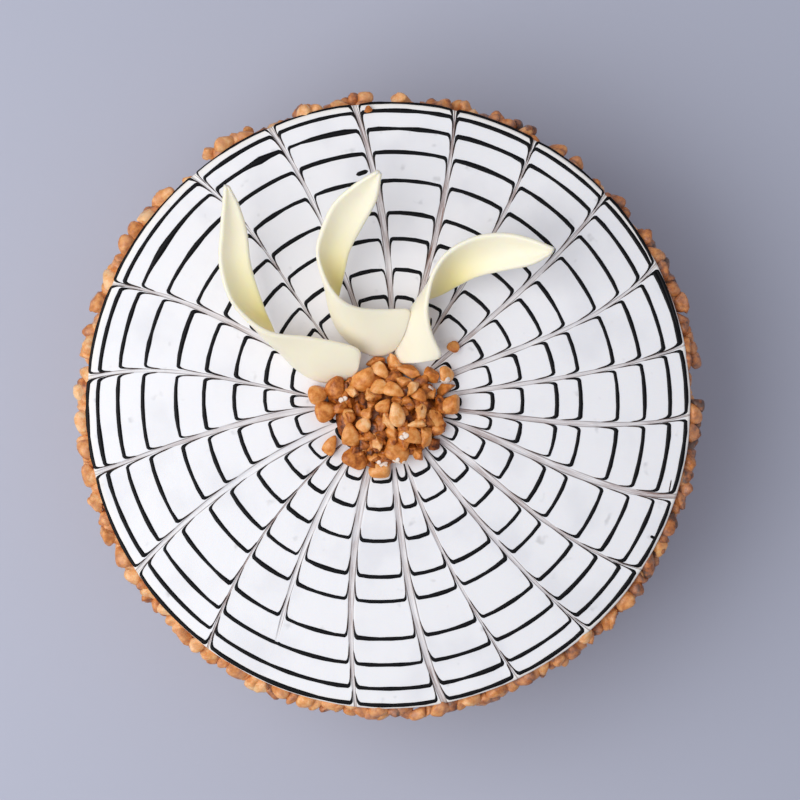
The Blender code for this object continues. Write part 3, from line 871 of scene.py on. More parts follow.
def pressedChipsTree():
    tree, source, sink = newGeometryTree("pressedChips", (
        ("Wall Radius", "Float"), ("Wall Top", "Float"), ("Wall Bottom", "Float"),
        ("Spacing", "Float"), ("Smallest", "Vector"), ("Largest", "Vector"),
        ("Sinks", "Float"), ("Out At Top", "Float"), ("Out At Base", "Float"),
        ("Kinds", "Int"), ("Seed", "Int"), ("Shapes", "Collection"), ("Glaze", "Material")))
    depth = calculate(tree, "SUBTRACT", source["Wall Top"], source["Wall Bottom"])
    middle = calculate(tree, "MULTIPLY_ADD", depth, 0.5, source["Wall Bottom"])
    wall = addNode(tree, "GeometryNodeMeshCylinder", {
        "Vertices": side["wallSides"], "Radius": source["Wall Radius"],
        "Depth": depth}, fill_type="NONE")
    lift = addNode(tree, "ShaderNodeCombineXYZ", {"Z": middle})
    raised = addNode(tree, "GeometryNodeTransform", {
        "Geometry": wall.outputs["Mesh"], "Translation": lift.outputs[0]})
    points = addNode(tree, "GeometryNodeDistributePointsOnFaces", {
        "Mesh": raised.outputs[0], "Distance Min": source["Spacing"],
        "Density Max": side["densest"], "Seed": source["Seed"]}, distribute_method="POISSON")

    # Every chip faces outwards, a little askew, and stands out more the lower it lies
    position = addNode(tree, "GeometryNodeInputPosition").outputs[0]
    height = addNode(tree, "ShaderNodeSeparateXYZ", {0: position}).outputs["Z"]
    level = addNode(tree, "ShaderNodeVectorMath", {0: position, 1: (1.0, 1.0, 0.0)},
                    operation="MULTIPLY")
    facing = addNode(tree, "ShaderNodeVectorMath", {0: level.outputs[0]},
                     operation="NORMALIZE")
    most = addNode(tree, "ShaderNodeMapRange", {
        "Value": height, "From Min": source["Wall Bottom"], "From Max": source["Wall Top"],
        "To Min": source["Out At Base"], "To Max": source["Out At Top"]})
    least = calculate(tree, "SUBTRACT", 0.0, source["Sinks"])
    out = randomValue(tree, source, least, most.outputs["Result"], 2)
    shift = addNode(tree, "ShaderNodeVectorMath", {0: facing.outputs[0]}, operation="SCALE")
    tree.links.new(out, shift.inputs["Scale"])
    placed = addNode(tree, "GeometryNodeSetPosition", {
        "Geometry": points.outputs["Points"], "Offset": shift.outputs[0]})
    aligned = addNode(tree, "FunctionNodeAlignRotationToVector", {
        "Vector": facing.outputs[0]}, axis="Z")
    askew = randomValue(tree, source, (-side["askew"], -side["askew"], 0.0),
                        (side["askew"], side["askew"], fullTurn), 3, "FLOAT_VECTOR")
    turned = addNode(tree, "FunctionNodeRotateRotation", {
        "Rotation": aligned.outputs[0], "Rotate By": askew}, rotation_space="LOCAL")
    shapes = addNode(tree, "GeometryNodeCollectionInfo", {
        "Collection": source["Shapes"], "Separate Children": True, "Reset Children": True})
    lastKind = calculate(tree, "SUBTRACT", source["Kinds"], 1.0)
    chips = addNode(tree, "GeometryNodeInstanceOnPoints", {
        "Points": placed.outputs[0], "Instance": shapes.outputs[0], "Pick Instance": True,
        "Instance Index": randomValue(tree, source, 0, lastKind, 4, "INT"),
        "Rotation": turned.outputs[0],
        "Scale": randomValue(tree, source, source["Smallest"], source["Largest"], 5,
                             "FLOAT_VECTOR")})
    toned = addNode(tree, "GeometryNodeStoreNamedAttribute", {
        "Geometry": chips.outputs[0], "Name": "chipTone",
        "Value": randomValue(tree, source, *side["tones"], 6)}, domain="INSTANCE",
        data_type="FLOAT")
    endTree(tree, sink, toned.outputs[0], source["Glaze"])
    return tree


def keepInside(piece):
    # No chip reaches past the solid cake's own chips
    low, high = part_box("cake")
    for vert in piece.data.vertices:
        for axis in range(2):
            vert.co[axis] = min(max(vert.co[axis], low[axis]), high[axis])
        vert.co.z = max(vert.co.z, 0.0)


def makeSideChips(shapes, material):
    piece = runTree("sideChips", pressedChipsTree(), {
        "Wall Radius": cake["radius"], "Wall Top": side["wallTop"],
        "Wall Bottom": side["wallBottom"], "Spacing": side["spacing"],
        "Smallest": side["smallest"], "Largest": side["largest"], "Sinks": side["sinks"],
        "Out At Top": side["standsOutAtTop"], "Out At Base": side["standsOutAtBase"],
        "Kinds": len(shapes.objects), "Seed": side["seed"], "Shapes": shapes,
        "Glaze": material})
    keepInside(piece)
    dress(piece, "chips")
    print("side chips:", len(piece.data.polygons), "faces")


# Chips placed one by one: a tree sets one shape on each point, turned and sized by the point

def placedChipsTree():
    tree, source, sink = newGeometryTree("placedChips", (
        ("Shapes", "Collection"), ("Glaze", "Material")))

    def stored(name, kind):
        return addNode(tree, "GeometryNodeInputNamedAttribute", {"Name": name},
                       data_type=kind).outputs["Attribute"]

    shapes = addNode(tree, "GeometryNodeCollectionInfo", {
        "Collection": source["Shapes"], "Separate Children": True, "Reset Children": True})
    turn = addNode(tree, "FunctionNodeEulerToRotation", {
        "Euler": stored("turn", "FLOAT_VECTOR")})
    chips = addNode(tree, "GeometryNodeInstanceOnPoints", {
        "Points": source["Geometry"], "Instance": shapes.outputs[0], "Pick Instance": True,
        "Instance Index": stored("shape", "INT"), "Rotation": turn.outputs[0],
        "Scale": stored("size", "FLOAT_VECTOR")})
    endTree(tree, sink, chips.outputs[0], source["Glaze"])
    return tree


def placeChips(name, rows, tree, shapes, material, slot="chips"):
    # Rows of place, shape, size along each of its axes, turn and tone
    places, picked, sizes, turns, tones = zip(*rows)
    mesh = bpy.data.meshes.new(name)
    mesh.from_pydata(places, [], [])
    storeValues(mesh, "shape", picked, "INT")
    storeValues(mesh, "chipTone", tones)
    for label, vectors in (("size", sizes), ("turn", turns)):
        storeValues(mesh, label, [number for row in vectors for number in row],
                    "FLOAT_VECTOR", "vector")
    piece = runTree(name, tree, {"Shapes": shapes, "Glaze": material}, mesh)
    dress(piece, slot)
    print(name + ":", len(rows), "chips,", len(piece.data.polygons), "faces")
    return piece


def pickShape(draw, kind):
    nuts, chips = chipShapes["nuts"][0], chipShapes["chips"][0]
    return draw.randrange(nuts) if kind == "nut" else nuts + draw.randrange(chips)


# Rim chips: degrees, how far from the cake's middle they reach and their width, in mm

rim = {
    "chips": (
        (8.5, 102.1, 6.0), (11.5, 102.1, 5.0), (15.3, 103.3, 5.5), (19.3, 105.5, 7.0),
        (22.3, 104.0, 4.5), (26.5, 103.8, 6.5), (30.3, 104.1, 5.5), (33.2, 104.5, 4.5),
        (39.3, 102.8, 4.2), (43.2, 102.0, 5.0), (47.0, 102.0, 4.5), (52.0, 102.0, 6.5),
        (56.5, 102.3, 5.0), (61.3, 102.5, 4.0), (63.7, 103.5, 4.5), (67.6, 103.5, 6.0),
        (70.2, 103.6, 3.8), (74.5, 102.6, 6.5), (80.3, 102.8, 7.5), (88.0, 104.1, 6.0),
        (94.7, 102.1, 6.0), (99.3, 103.3, 6.0), (103.8, 103.6, 4.5), (106.3, 104.0, 5.5),
        (118.3, 103.8, 6.0), (122.3, 105.3, 7.0), (125.2, 105.4, 5.0), (131.5, 102.0, 4.0),
        (136.8, 104.8, 7.0), (141.8, 104.8, 7.0), (145.6, 105.4, 5.5), (148.6, 105.4, 6.0),
        (152.4, 103.9, 5.0), (155.8, 104.8, 6.5), (160.5, 105.3, 6.5), (164.8, 102.6, 4.5),
        (168.5, 104.1, 6.5), (174.3, 103.1, 6.0), (177.8, 105.1, 5.5), (183.3, 105.0, 8.0),
        (188.2, 104.5, 6.0), (193.0, 105.0, 8.0), (198.6, 105.3, 6.5), (201.8, 103.6, 4.5),
        (204.7, 105.4, 6.5), (209.6, 104.3, 7.0), (213.8, 105.3, 6.0), (217.6, 103.8, 6.0),
        (222.5, 102.8, 6.0), (228.2, 105.3, 6.5), (231.1, 104.4, 5.0), (234.2, 104.5, 6.0),
        (240.0, 104.0, 7.0), (245.0, 104.6, 6.5), (249.1, 104.6, 6.0), (254.2, 104.3, 6.0),
        (259.0, 103.0, 6.5), (263.0, 102.6, 6.0), (268.0, 103.1, 6.5), (272.3, 103.1, 6.0),
        (279.3, 104.0, 7.0), (285.5, 103.6, 6.5), (290.5, 103.3, 6.5), (296.3, 103.1, 7.0),
        (300.6, 103.2, 5.0), (303.6, 103.6, 5.0), (310.5, 102.3, 6.0), (316.0, 105.1, 7.0),
        (320.4, 104.3, 6.5), (324.8, 103.1, 6.0), (329.0, 102.8, 6.0), (332.2, 103.6, 5.5),
        (336.8, 103.6, 7.0), (342.0, 104.1, 6.0), (346.0, 103.1, 5.5), (349.4, 103.8, 5.0),
        (354.9, 103.6, 6.0), (358.6, 103.9, 6.0),
    ),
    "widen": 1.14,
    "thickness": (4.6 * mm, 6.2 * mm),
    "kinds": ("nut", "nut", "chip"),  # each one's shape is picked from these
    "below": (0.2 * mm, 2.2 * mm),  # how far their tops lie below the icing's
    "tilt": 0.5,
    "tones": (0.4, 1.0),
    "paintedShade": 0.28,  # how much painted shade darkens them on the side away from the light
    "paintedShadeSide": 0.2,  # where that painted shade is deepest, in radians
    # Darker ones, toned down as painted shade, close the ring between them, except from one to the
    # other of these degrees
    "gaps": ((2, 6), (35, 38), (44.5, 45.5), (48, 50.5), (54, 55), (58, 60), (71.5, 72.5),
             (84, 86), (90, 92), (101.5, 102.5), (109, 116), (127, 130), (133, 134),
             (162.5, 163.5), (171.5, 172.5)),
    "gapMargin": 1.2,
    "fillerStep": 2.1,  # in degrees
    "fillerReach": (103.3 * mm, 105.2 * mm),
    "fillerBelow": (1.5 * mm, 4.5 * mm),
    # Fillers lie lower and are toned darker, as painted shade
    "shadedFillerTones": (0.25, 0.8),
    "seed": 4,
}


def rimRow(draw, degrees, reach, width, below, tone):
    size = (width, draw.uniform(*rim["thickness"]), draw.uniform(*rim["thickness"]))
    angle, tilt = math.radians(degrees), rim["tilt"]
    # Painted shade: chips on the side away from the light are toned darker
    tone -= rim["paintedShade"] * (0.5 + 0.5 * math.cos(angle - rim["paintedShadeSide"]))
    place = polar(reach - 0.5 * size[1], angle, cake["height"] - below - 0.5 * size[2])
    turn = (draw.uniform(-tilt, tilt), draw.uniform(-tilt, tilt), angle + 0.5 * math.pi)
    return place, pickShape(draw, draw.choice(rim["kinds"])), size, turn, tone


def makeRimChips(tree, shapes, material):
    draw = random.Random(rim["seed"])
    rows = [rimRow(draw, degrees, reach * mm, rim["widen"] * width * mm,
                   draw.uniform(*rim["below"]), draw.uniform(*rim["tones"]))
            for degrees, reach, width in rim["chips"]]
    degrees, margin = 0.0, rim["gapMargin"]
    while degrees < 360.0:
        if not any(start - margin < degrees < end + margin for start, end in rim["gaps"]):
            rows.append(rimRow(draw, degrees, draw.uniform(*rim["fillerReach"]),
                               draw.uniform(*rim["thickness"]),
                               draw.uniform(*rim["fillerBelow"]),
                               draw.uniform(*rim["shadedFillerTones"])))
        degrees += rim["fillerStep"]
    keepInside(placeChips("rimChips", rows, tree, shapes, material))


# Curls: two listed edges each, in mm, from the broad end by the heap to the tip, with the
# height above the cake's top

curls = {
    "left": (
        ((-8.6, 18.6, 9.0), (-18.0, 21.0, 11.0), (-27.5, 22.5, 13.0), (-38.0, 23.5, 15.0),
         (-46.0, 28.0, 17.0), (-52.0, 35.5, 19.5), (-54.6, 46.0, 22.0), (-53.9, 56.0, 25.0),
         (-52.9, 64.3, 28.5), (-52.2, 69.8, 31.0)),
        ((-11.9, 8.7, 0.0), (-22.5, 8.0, 0.0), (-30.5, 12.0, 0.0), (-36.0, 18.5, 0.0),
         (-38.8, 26.0, 3.5), (-40.9, 32.5, 10.0), (-44.3, 45.0, 17.5), (-45.4, 56.0, 22.0),
         (-47.6, 64.0, 26.5), (-50.2, 69.4, 30.4)),
    ),
    "middle": (
        ((7.8, 32.0, 9.0), (-1.4, 31.5, 10.0), (-10.5, 32.0, 12.5), (-16.5, 35.0, 15.0),
         (-21.0, 41.0, 17.0), (-23.5, 49.5, 19.0), (-22.0, 56.5, 22.0), (-18.0, 64.5, 25.5),
         (-11.0, 70.5, 29.0), (-3.9, 74.5, 32.0)),
        ((1.5, 17.4, 0.0), (-5.6, 16.6, 0.0), (-13.8, 21.4, 0.0), (-18.5, 29.0, 0.0),
         (-17.0, 36.5, 2.0), (-14.8, 43.0, 8.5), (-12.5, 50.5, 15.0), (-8.1, 58.0, 21.5),
         (-3.8, 65.5, 27.5), (-2.2, 73.2, 31.4)),
    ),
    "right": (
        ((18.0, 15.4, 9.0), (14.0, 23.0, 12.0), (12.3, 30.0, 14.5), (12.5, 36.0, 16.0),
         (14.3, 43.4, 17.0), (19.0, 50.0, 18.5), (27.5, 54.5, 20.5), (37.0, 55.5, 22.5),
         (45.5, 53.5, 25.0), (52.6, 50.4, 27.0)),
        ((2.0, 14.0, 0.0), (2.2, 22.5, 0.0), (5.3, 29.5, 0.0), (10.6, 34.6, 0.0),
         (17.0, 37.0, 1.0), (23.0, 39.8, 6.0), (29.0, 42.0, 12.5), (37.0, 43.5, 18.0),
         (45.5, 45.0, 23.0), (51.6, 48.2, 26.5)),
    ),
}
curlShape = {
    "lift": 0.75 * mm,
    "thickness": 1.8 * mm,
    "belly": 1.2 * mm,
    "fullWidth": 12.0 * mm,
    "stations": 72,
    "across": 14,
    "edgeSteps": 4,
    "crowding": 1.35,  # above one, stations lie closer near the broad end
    "slopeStep": 0.015,  # how far before and after a station its direction is taken
    "thickest": 0.45,  # half the thickness against the width, near the tip
    "waviness": 0.12 * mm,
    "wavinessSize": 9.0 * mm,
    "base": (0.97, 0.853, 0.665),
    "bloomScale": 90.0,
    "bloom": (0.4, 0.7, 0.0, 0.5),
    "bloomPaler": 1.03,
    "inner": (1.0, 0.815, 0.37),  # painted warm glow of light gathered where the inner face is deep
    "paintedGlowPeak": 0.50,  # where along the curl the painted glow is strongest, as a share of the way
    "paintedGlowReach": 0.17,
    "roughness": 0.42,
    "glow": 3.5 * mm,  # how far light travels inside
    "glowShare": 0.6,
    "glowColour": (1.0, 0.8, 0.4),
    "grainScale": 420.0,
    "bump": (0.12, 0.2 * mm),
    "corner": 2.8 * mm,  # how round the broad end's corners are
    "cornerShare": 0.045,
}


def makeCurlMaterial():
    material, tree, shader = newMaterial(
        "whiteChocolate", Roughness=curlShape["roughness"],
        Subsurface_Weight=curlShape["glowShare"], Subsurface_Scale=curlShape["glow"],
        Subsurface_Radius=curlShape["glowColour"])
    place = objectPlace(tree)
    bloom = mapRange(tree, noiseValue(tree, place, curlShape["bloomScale"], 3.0),
                     *curlShape["bloom"])
    pale = [min(1.0, channel * curlShape["bloomPaler"]) for channel in curlShape["base"]]
    colour = mixColour(tree, bloom, curlShape["base"], pale)
    # Painted warm glow where the inner face is deep
    colour = mixColour(tree, attributeValue(tree, "paintedInnerGlow"), colour, curlShape["inner"])
    tree.links.new(colour, shader.inputs["Base Color"])
    grain = noiseValue(tree, place, curlShape["grainScale"], 3.0)
    addBump(tree, shader, grain, *curlShape["bump"])
    return material


def curlSection(upper, foot, share):
    # The closed section of a curl at one station: along the inner face, round the upper edge,
    # back along the outer face and round the foot, as places and their share of painted warm glow
    step = curlShape["slopeStep"]
    high, low = spline(upper, share), spline(foot, share)
    before, after = max(share - step, 0.0), min(share + step, 1.0)
    along = spline(upper, after) + spline(foot, after)
    along -= spline(upper, before) + spline(foot, before)
    rise = (high - low).normalized()
    outwards = along.cross(high - low).normalized()
    width = (high - low).length
    half = min(0.5 * curlShape["thickness"], curlShape["thickest"] * width)
    ending = max(1.0 - share / curlShape["cornerShare"], 0.0)
    inset = half + curlShape["corner"] * (1.0 - math.sqrt(1.0 - ending * ending))
    high, low = high - rise * inset, low + rise * inset
    fullness = min(width / curlShape["fullWidth"], 1.0)
    paintedGlowShare = math.exp(-((share - curlShape["paintedGlowPeak"]) / curlShape["paintedGlowReach"]) ** 2)
    points = []

    def wall(t, face):
        place = low.lerp(high, t)
        belly = curlShape["belly"] * fullness * math.sin(math.pi * t)
        wave = curlShape["waviness"] * noise.noise(place / curlShape["wavinessSize"])
        # Painted warm glow on the inner face only, strongest near the foot
        depth = paintedGlowShare * (1.0 - t) ** 0.5 if face > 0.0 else 0.0
        points.append((place - outwards * (belly + wave - face * half), depth))

    def edge(middle, start):
        for turn in range(1, curlShape["edgeSteps"]):
            angle = start + math.pi * turn / curlShape["edgeSteps"]
            away = outwards * math.cos(angle) + rise * math.sin(angle)
            points.append((middle + half * away, 0.0))

    steps = curlShape["across"]
    for number in range(steps + 1):
        wall(number / steps, 1.0)
    edge(high, 0.0)
    for number in range(steps + 1):
        wall(1.0 - number / steps, -1.0)
    edge(low, math.pi)
    return points


def makeCurl(name, rails, material):
    lift = Vector((0.0, 0.0, cake["height"] + curlShape["lift"]))
    upper, foot = [[Vector(point) * mm + lift for point in rail] for rail in rails]
    data = bmesh.new()
    layer = data.verts.layers.float.new("paintedInnerGlow")
    rows = []
    for station in range(curlShape["stations"]):
        row = []
        share = (station / (curlShape["stations"] - 1)) ** curlShape["crowding"]
        for place, depth in curlSection(upper, foot, share):
            row.append(data.verts.new(place))
            row[-1][layer] = depth
        rows.append(row)
    for left, right in zip(rows, rows[1:]):
        for index in range(len(left)):
            data.faces.new((left[index - 1], right[index - 1], right[index], left[index]))
    for row in (rows[0], rows[-1]):
        middle = data.verts.new(sum((vert.co for vert in row), Vector()) / len(row))
        for index in range(len(row)):
            data.faces.new((row[index - 1], row[index], middle))
    bmesh.ops.recalc_face_normals(data, faces=data.faces)
    for vert in data.verts:
        vert.co.z = max(vert.co.z, cake["height"])
        vert.normal_update()
    piece = newPiece("curl" + name.capitalize(), data, [material])
    piece.data.shade_smooth()
    dress(piece, "chocolate", "curl_" + name)
    print("curl " + name + ":", len(piece.data.polygons), "faces")


# Heap: every piece that shows, as x, y, length and width in mm, degrees, shape, how high it
# lies on the others and tone; darker ones fill the gaps between, over a dark core, both toned as
# painted shade

heap = {
    "pieces": (
        (-23.4, 3.6, 6.6, 6.0, 0, "nut", 0, 0.62), (-17.4, 6.5, 7.3, 6.3, 60, "nut", 1, 0.40),
        (-20.8, -1.9, 7.3, 6.9, 0, "nut", 0, 0.50), (-12.5, 4.9, 4.3, 4.0, 0, "chip", 1, 0.75),
        (-15.3, 1.0, 4.6, 3.5, 80, "chip", 0, 0.60), (-17.2, 2.8, 4.6, 1.6, 25, "chip", 0, 0.95),
        (-8.8, 8.7, 7.6, 7.3, 0, "nut", 1, 0.62), (-3.0, 11.3, 6.0, 4.3, -60, "nut", 2, 0.80),
        (-3.6, 6.0, 5.6, 4.6, 35, "nut", 1, 0.72), (-4.7, 14.6, 6.0, 3.2, 5, "chip", 0, 0.50),
        (-6.5, 3.3, 4.5, 3.5, 75, "chip", 1, 0.70), (-6.8, 0.2, 5.0, 3.8, -15, "chip", 0, 0.45),
        (-13.4, -2.9, 4.8, 3.5, -70, "chip", 0, 0.72), (1.4, 14.3, 6.0, 4.2, -60, "chip", 1, 0.68),
        (6.4, 11.5, 7.6, 4.4, -10, "chip", 1, 0.62), (10.2, 8.1, 4.8, 4.5, 0, "nut", 0, 0.30),
        (13.8, 10.3, 5.4, 4.7, -80, "chip", 1, 0.50), (18.5, 10.5, 5.3, 4.7, -60, "nut", 1, 0.68),
        (18.6, 5.6, 6.0, 3.8, 15, "chip", 0, 0.48), (13.7, 3.8, 3.8, 2.9, 15, "chip", 0, 0.55),
        (19.6, 0.5, 6.3, 6.0, 0, "nut", 1, 0.55), (4.2, 7.7, 4.8, 3.8, -20, "chip", 1, 0.58),
        (7.2, 5.8, 5.3, 3.1, 50, "chip", 2, 0.78), (9.6, 3.1, 4.8, 4.2, -60, "nut", 1, 0.52),
        (1.2, 4.7, 6.6, 4.7, -40, "nut", 2, 0.62), (5.2, 1.6, 4.2, 3.0, 20, "chip", 0, 0.50),
        (2.5, -2.7, 7.6, 4.7, -78, "nut", 2, 0.82), (-2.2, 0.1, 4.8, 4.2, 0, "nut", 1, 0.58),
        (10.3, -2.4, 5.8, 3.8, 65, "chip", 1, 0.72), (15.1, -4.5, 6.4, 5.7, 90, "chip", 0, 0.52),
        (-12.4, -9.2, 7.3, 6.1, 80, "nut", 1, 0.62), (-8.4, -6.2, 4.6, 4.5, 0, "nut", 2, 0.82),
        (-7.5, -2.5, 4.6, 3.5, 70, "chip", 1, 0.60), (-8.6, -13.9, 4.2, 3.0, -10, "chip", 0, 0.85),
        (-4.1, -11.8, 5.8, 4.2, -60, "chip", 1, 0.70), (-11.5, -17.1, 8.3, 6.9, 0, "nut", 0, 0.38),
        (-4.7, -16.2, 4.8, 3.8, 0, "chip", 0, 0.62), (-3.3, -20.7, 6.6, 5.7, 0, "nut", 0, 0.72),
        (2.2, -15.1, 7.6, 7.3, 0, "nut", 1, 0.58), (-0.3, -5.4, 6.3, 3.1, -60, "chip", 1, 0.75),
        (0.1, -8.6, 5.2, 3.8, -20, "chip", 0, 0.55), (6.9, -10.1, 7.0, 5.7, -50, "nut", 1, 0.60),
        (11.8, -9.8, 7.6, 4.1, 90, "chip", 1, 0.66), (8.6, -5.8, 6.3, 2.4, 5, "chip", 2, 0.75),
        (9.0, -15.5, 5.0, 3.8, -30, "chip", 0, 0.50),
    ),
    "middle": (-0.5 * mm, -3.6 * mm),
    "reach": (20.5 * mm, 17.0 * mm),
    "height": 7.4 * mm,
    "coreDepth": 3.3 * mm,  # how far the core lies below the pieces
    "coreDetail": 4,
    "coreUneven": 0.08,
    "coreLumps": 5.0,
    "coreFoot": -0.05,
    "widen": 1.11,
    "step": 0.8 * mm,  # how much higher each level of pieces lies
    "flatness": 0.82,
    "leastHeight": 0.6,  # of a long piece, before it is flattened
    "tilt": 0.25,
    "rests": 0.42,  # how high a piece's middle lies on the icing, against its height
    "sinks": 0.25,  # how far it sinks into the heap
    "fillers": 105,
    "fillerSizes": (3.8 * mm, 6.0 * mm),
    "fillerDepth": (0.8 * mm, 2.7 * mm),
    # Fillers and core are toned dark as painted shade in the gaps between the chips
    "shadedFillerTones": (0.1, 0.46),
    "fillerReach": 0.94,  # of the heap's own reach
    "fillerRests": 0.4,
    "shadedCoreTone": 0.24,
    # Places without fillers: x, y and how wide, in mm
    "hollows": ((15.7, 7.3, 2.8), (-17.2, -7.2, 4.6), (-19.6, 6.6, 2.2), (3.2, -21.0, 4.0),
                (8.5, -19.5, 3.6), (13.5, 13.8, 2.0), (-16.0, -14.5, 3.2)),
    # Loose ones on the icing: x, y, length and width in mm, degrees, shape, tone
    "loose": ((21.0, 19.5, 4.3, 4.0, 0, "nut", 0.50), (-19.1, -13.0, 6.8, 4.8, 50, "nut", 0.60),
              (-7.1, 98.0, 2.8, 2.4, 20, "chip", 0.45)),
    # Cream caught on the chips, partly standing as painted glints on wet chips: x, y, length and
    # width in mm, degrees
    "cream": ((-2.8, -18.6, 3.6, 1.0, -10), (3.6, -18.2, 4.0, 1.4, 15), (4.8, -9.8, 2.2, 1.2, 40),
              (14.6, 6.6, 3.2, 0.8, 25), (18.2, 8.0, 2.6, 0.8, 15), (-15.2, 2.2, 2.0, 0.6, 30)),
    "creamBlobs": 7,
    "creamSizes": (1.0 * mm, 2.1 * mm),
    "creamFlatness": 0.17,
    "creamRoughness": 0.5,
    "creamFrom": 200.0,  # height in mm from which each blob drops on the chips
    "seed": 8,
}


def heapHeight(x, y):
    middle, reach = heap["middle"], heap["reach"]
    inside = 1.0 - ((x - middle[0]) / reach[0]) ** 2 - ((y - middle[1]) / reach[1]) ** 2
    return heap["height"] * math.sqrt(inside) if inside > 0.0 else 0.0


def heapRows(draw):
    rows = []
    tilt = heap["tilt"]
    for x, y, length, width, degrees, kind, level, tone in heap["pieces"]:
        x, y = x * mm, y * mm
        length, width = heap["widen"] * length, heap["widen"] * width
        height = heap["flatness"] * max(width, heap["leastHeight"] * length)
        size = (length * mm, width * mm, height * mm)
        rest = max(heap["rests"] * size[2], heapHeight(x, y) - heap["sinks"] * size[2])
        rest += level * heap["step"]
        turn = (draw.uniform(-tilt, tilt), draw.uniform(-tilt, tilt), math.radians(degrees))
        rows.append((Vector((x, y, cake["height"] + rest)), pickShape(draw, kind), size,
                     turn, tone))
    while len(rows) < len(heap["pieces"]) + heap["fillers"]:
        angle = draw.uniform(0.0, fullTurn)
        reach = heap["fillerReach"] * math.sqrt(draw.random())
        x = heap["middle"][0] + heap["reach"][0] * reach * math.cos(angle)
        y = heap["middle"][1] + heap["reach"][1] * reach * math.sin(angle)
        if any(math.hypot(x - left * mm, y - up * mm) < wide * mm
               for left, up, wide in heap["hollows"]):
            continue
        size = [draw.uniform(*heap["fillerSizes"]) for _ in range(3)]
        rest = max(heap["fillerRests"] * size[2],
                   heapHeight(x, y) - draw.uniform(*heap["fillerDepth"]))
        turn = [draw.uniform(0.0, fullTurn) for _ in range(3)]
        rows.append((Vector((x, y, cake["height"] + rest)), pickShape(draw, "chip"), size,
                     turn, draw.uniform(*heap["shadedFillerTones"])))
    return rows


def looseRows(draw):
    rows = []
    for x, y, length, width, degrees, kind, tone in heap["loose"]:
        size = (length * mm, width * mm, heap["flatness"] * width * mm)
        place = Vector((x * mm, y * mm, cake["height"] + heap["rests"] * size[2]))
        rows.append((place, pickShape(draw, kind), size, (0.0, 0.0, math.radians(degrees)), tone))
    return rows


def creamAndGlintRows(draw, chips):
    # Each dab lies on whatever chip is on top there
    surface = BVHTree.FromPolygons([vert.co for vert in chips.data.vertices],
                                   [face.vertices for face in chips.data.polygons])
    rows = []
    for x, y, length, width, degrees in heap["cream"]:
        turn = math.radians(degrees)
        for _ in range(heap["creamBlobs"]):
            along, across = draw.uniform(-0.5, 0.5) * length, draw.uniform(-0.5, 0.5) * width
            start = mm * Vector((x + along * math.cos(turn) - across * math.sin(turn),
                                 y + along * math.sin(turn) + across * math.cos(turn),
                                 heap["creamFrom"]))
            place, normal, _, _ = surface.ray_cast(start, Vector((0.0, 0.0, -1.0)))
            if place:
                lean = normal.to_track_quat("Z", "Y").to_euler()
                size = [draw.uniform(*heap["creamSizes"]) for _ in range(3)]
                size[2] *= heap["creamFlatness"]
                rows.append((place, pickShape(draw, "nut"), size, tuple(lean), 0.0))
    return rows


def makeHeap(tree, shapes, small, material):
    draw = random.Random(heap["seed"])
    chips = placeChips("heapChips", heapRows(draw), tree, shapes, material)
    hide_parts("chip_heap")
    placeChips("looseChips", looseRows(draw), tree, shapes, material)
    cream, _, shader = newMaterial("cream", Roughness=heap["creamRoughness"])
    shader.inputs["Base Color"].default_value = (*chipFinish["cream"], 1.0)
    # White dabs: partly real cream, partly painted glints on wet chips
    placeChips("creamDabs", creamAndGlintRows(draw, chips), tree, small, cream, "icing")
    data = bmesh.new()
    bmesh.ops.create_icosphere(data, subdivisions=heap["coreDetail"], radius=1.0)
    tone = data.verts.layers.float.new("chipTone")
    for vert in data.verts:
        # Painted shade: the core is as dark as the gaps it shows through
        vert[tone] = heap["shadedCoreTone"]
        vert.co *= 1.0 + heap["coreUneven"] * noise.noise(vert.co * heap["coreLumps"])
        vert.co.z = max(vert.co.z, heap["coreFoot"])
        vert.co = Vector((
            vert.co.x * (heap["reach"][0] - heap["coreDepth"]) + heap["middle"][0],
            vert.co.y * (heap["reach"][1] - heap["coreDepth"]) + heap["middle"][1],
            vert.co.z * (heap["height"] - heap["coreDepth"]) + cake["height"]))
    core = newPiece("heapCore", data, [material])
    core.data.shade_smooth()
    dress(core, "chips")
    print("heap core:", len(core.data.polygons), "faces")


# Floor, light and camera

stage = {
    "floor": (0.46, 0.475, 0.56),
    "floorRoughness": 0.9,
    "floorHalf": 2.5,
    "cameraAbove": 700.0 * mm,  # over the cake's top
    "cameraSide": (3.47 * mm, 1.98 * mm),
    "viewWidth": 264.46 * mm,  # what the frame shows at the cake's top
    "keyPlace": (-0.44, -0.06, 0.70),
    "keySize": 0.72,
    "keyPower": 5.05,
    "sky": (0.84, 0.87, 0.98),
    "skyStrength": 0.52,
}


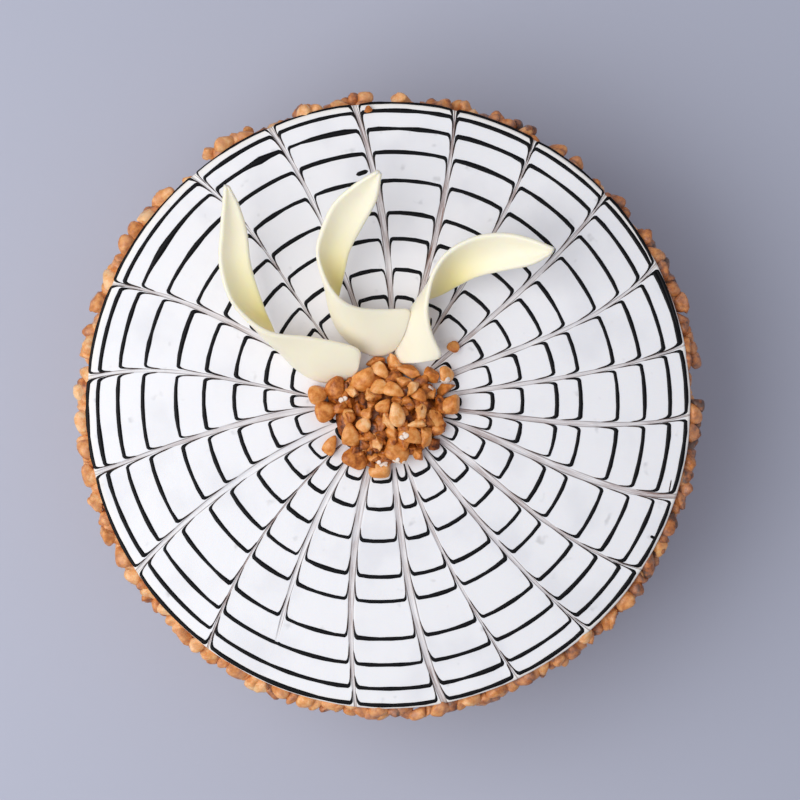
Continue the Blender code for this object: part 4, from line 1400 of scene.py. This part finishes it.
def makeStage():
    scene = bpy.context.scene
    scene.view_settings.view_transform = "Standard"
    half = stage["floorHalf"]
    mesh = bpy.data.meshes.new("floor")
    mesh.from_pydata([(-half, -half, 0.0), (half, -half, 0.0), (half, half, 0.0),
                      (-half, half, 0.0)], [], [(0, 1, 2, 3)])
    material, _, shader = newMaterial("paleFloor", Roughness=stage["floorRoughness"])
    shader.inputs["Base Color"].default_value = (*stage["floor"], 1.0)
    floor = newPiece("floor", mesh, [material])

    world = bpy.data.worlds.new("softSky")
    scene.world = world
    world.use_nodes = True
    background = world.node_tree.nodes["Background"]
    background.inputs["Color"].default_value = (*stage["sky"], 1.0)
    background.inputs["Strength"].default_value = stage["skyStrength"]

    light = bpy.data.lights.new("softbox", "AREA")
    light.size = stage["keySize"]
    light.energy = stage["keyPower"]
    lamp = bpy.data.objects.new("softbox", light)
    lamp.location = stage["keyPlace"]
    aim = Vector((0.0, 0.0, cake["height"])) - lamp.location
    lamp.rotation_euler = aim.to_track_quat("-Z", "Y").to_euler()
    scene.collection.objects.link(lamp)

    camera = bpy.data.cameras.new("camera")
    camera.lens = camera.sensor_width * stage["cameraAbove"] / stage["viewWidth"]
    viewer = bpy.data.objects.new("camera", camera)
    viewer.location = (*stage["cameraSide"], cake["height"] + stage["cameraAbove"])
    scene.collection.objects.link(viewer)
    scene.camera = viewer
    print("stage set")


makeStage()
makeIcing()
makeWeb()
curlMaterial = makeCurlMaterial()
for curlName, rails in curls.items():
    makeCurl(curlName, rails, curlMaterial)
glazedChips = makeChipMaterial("butterscotch", 0.0)
creamedChips = makeChipMaterial("creamedButterscotch", chipFinish["creamFilm"])
coarse, medium, fine = [makeChipShapes(f"lump{detail}", detail) for detail in (2, 3, 4)]
placing = placedChipsTree()
makeSideChips(coarse, creamedChips)
makeRimChips(placing, medium, creamedChips)
makeHeap(placing, fine, coarse, glazedChips)
for collection in (coarse, medium, fine):
    for shape in list(collection.objects):
        bpy.data.objects.remove(shape)
    bpy.data.collections.remove(collection)
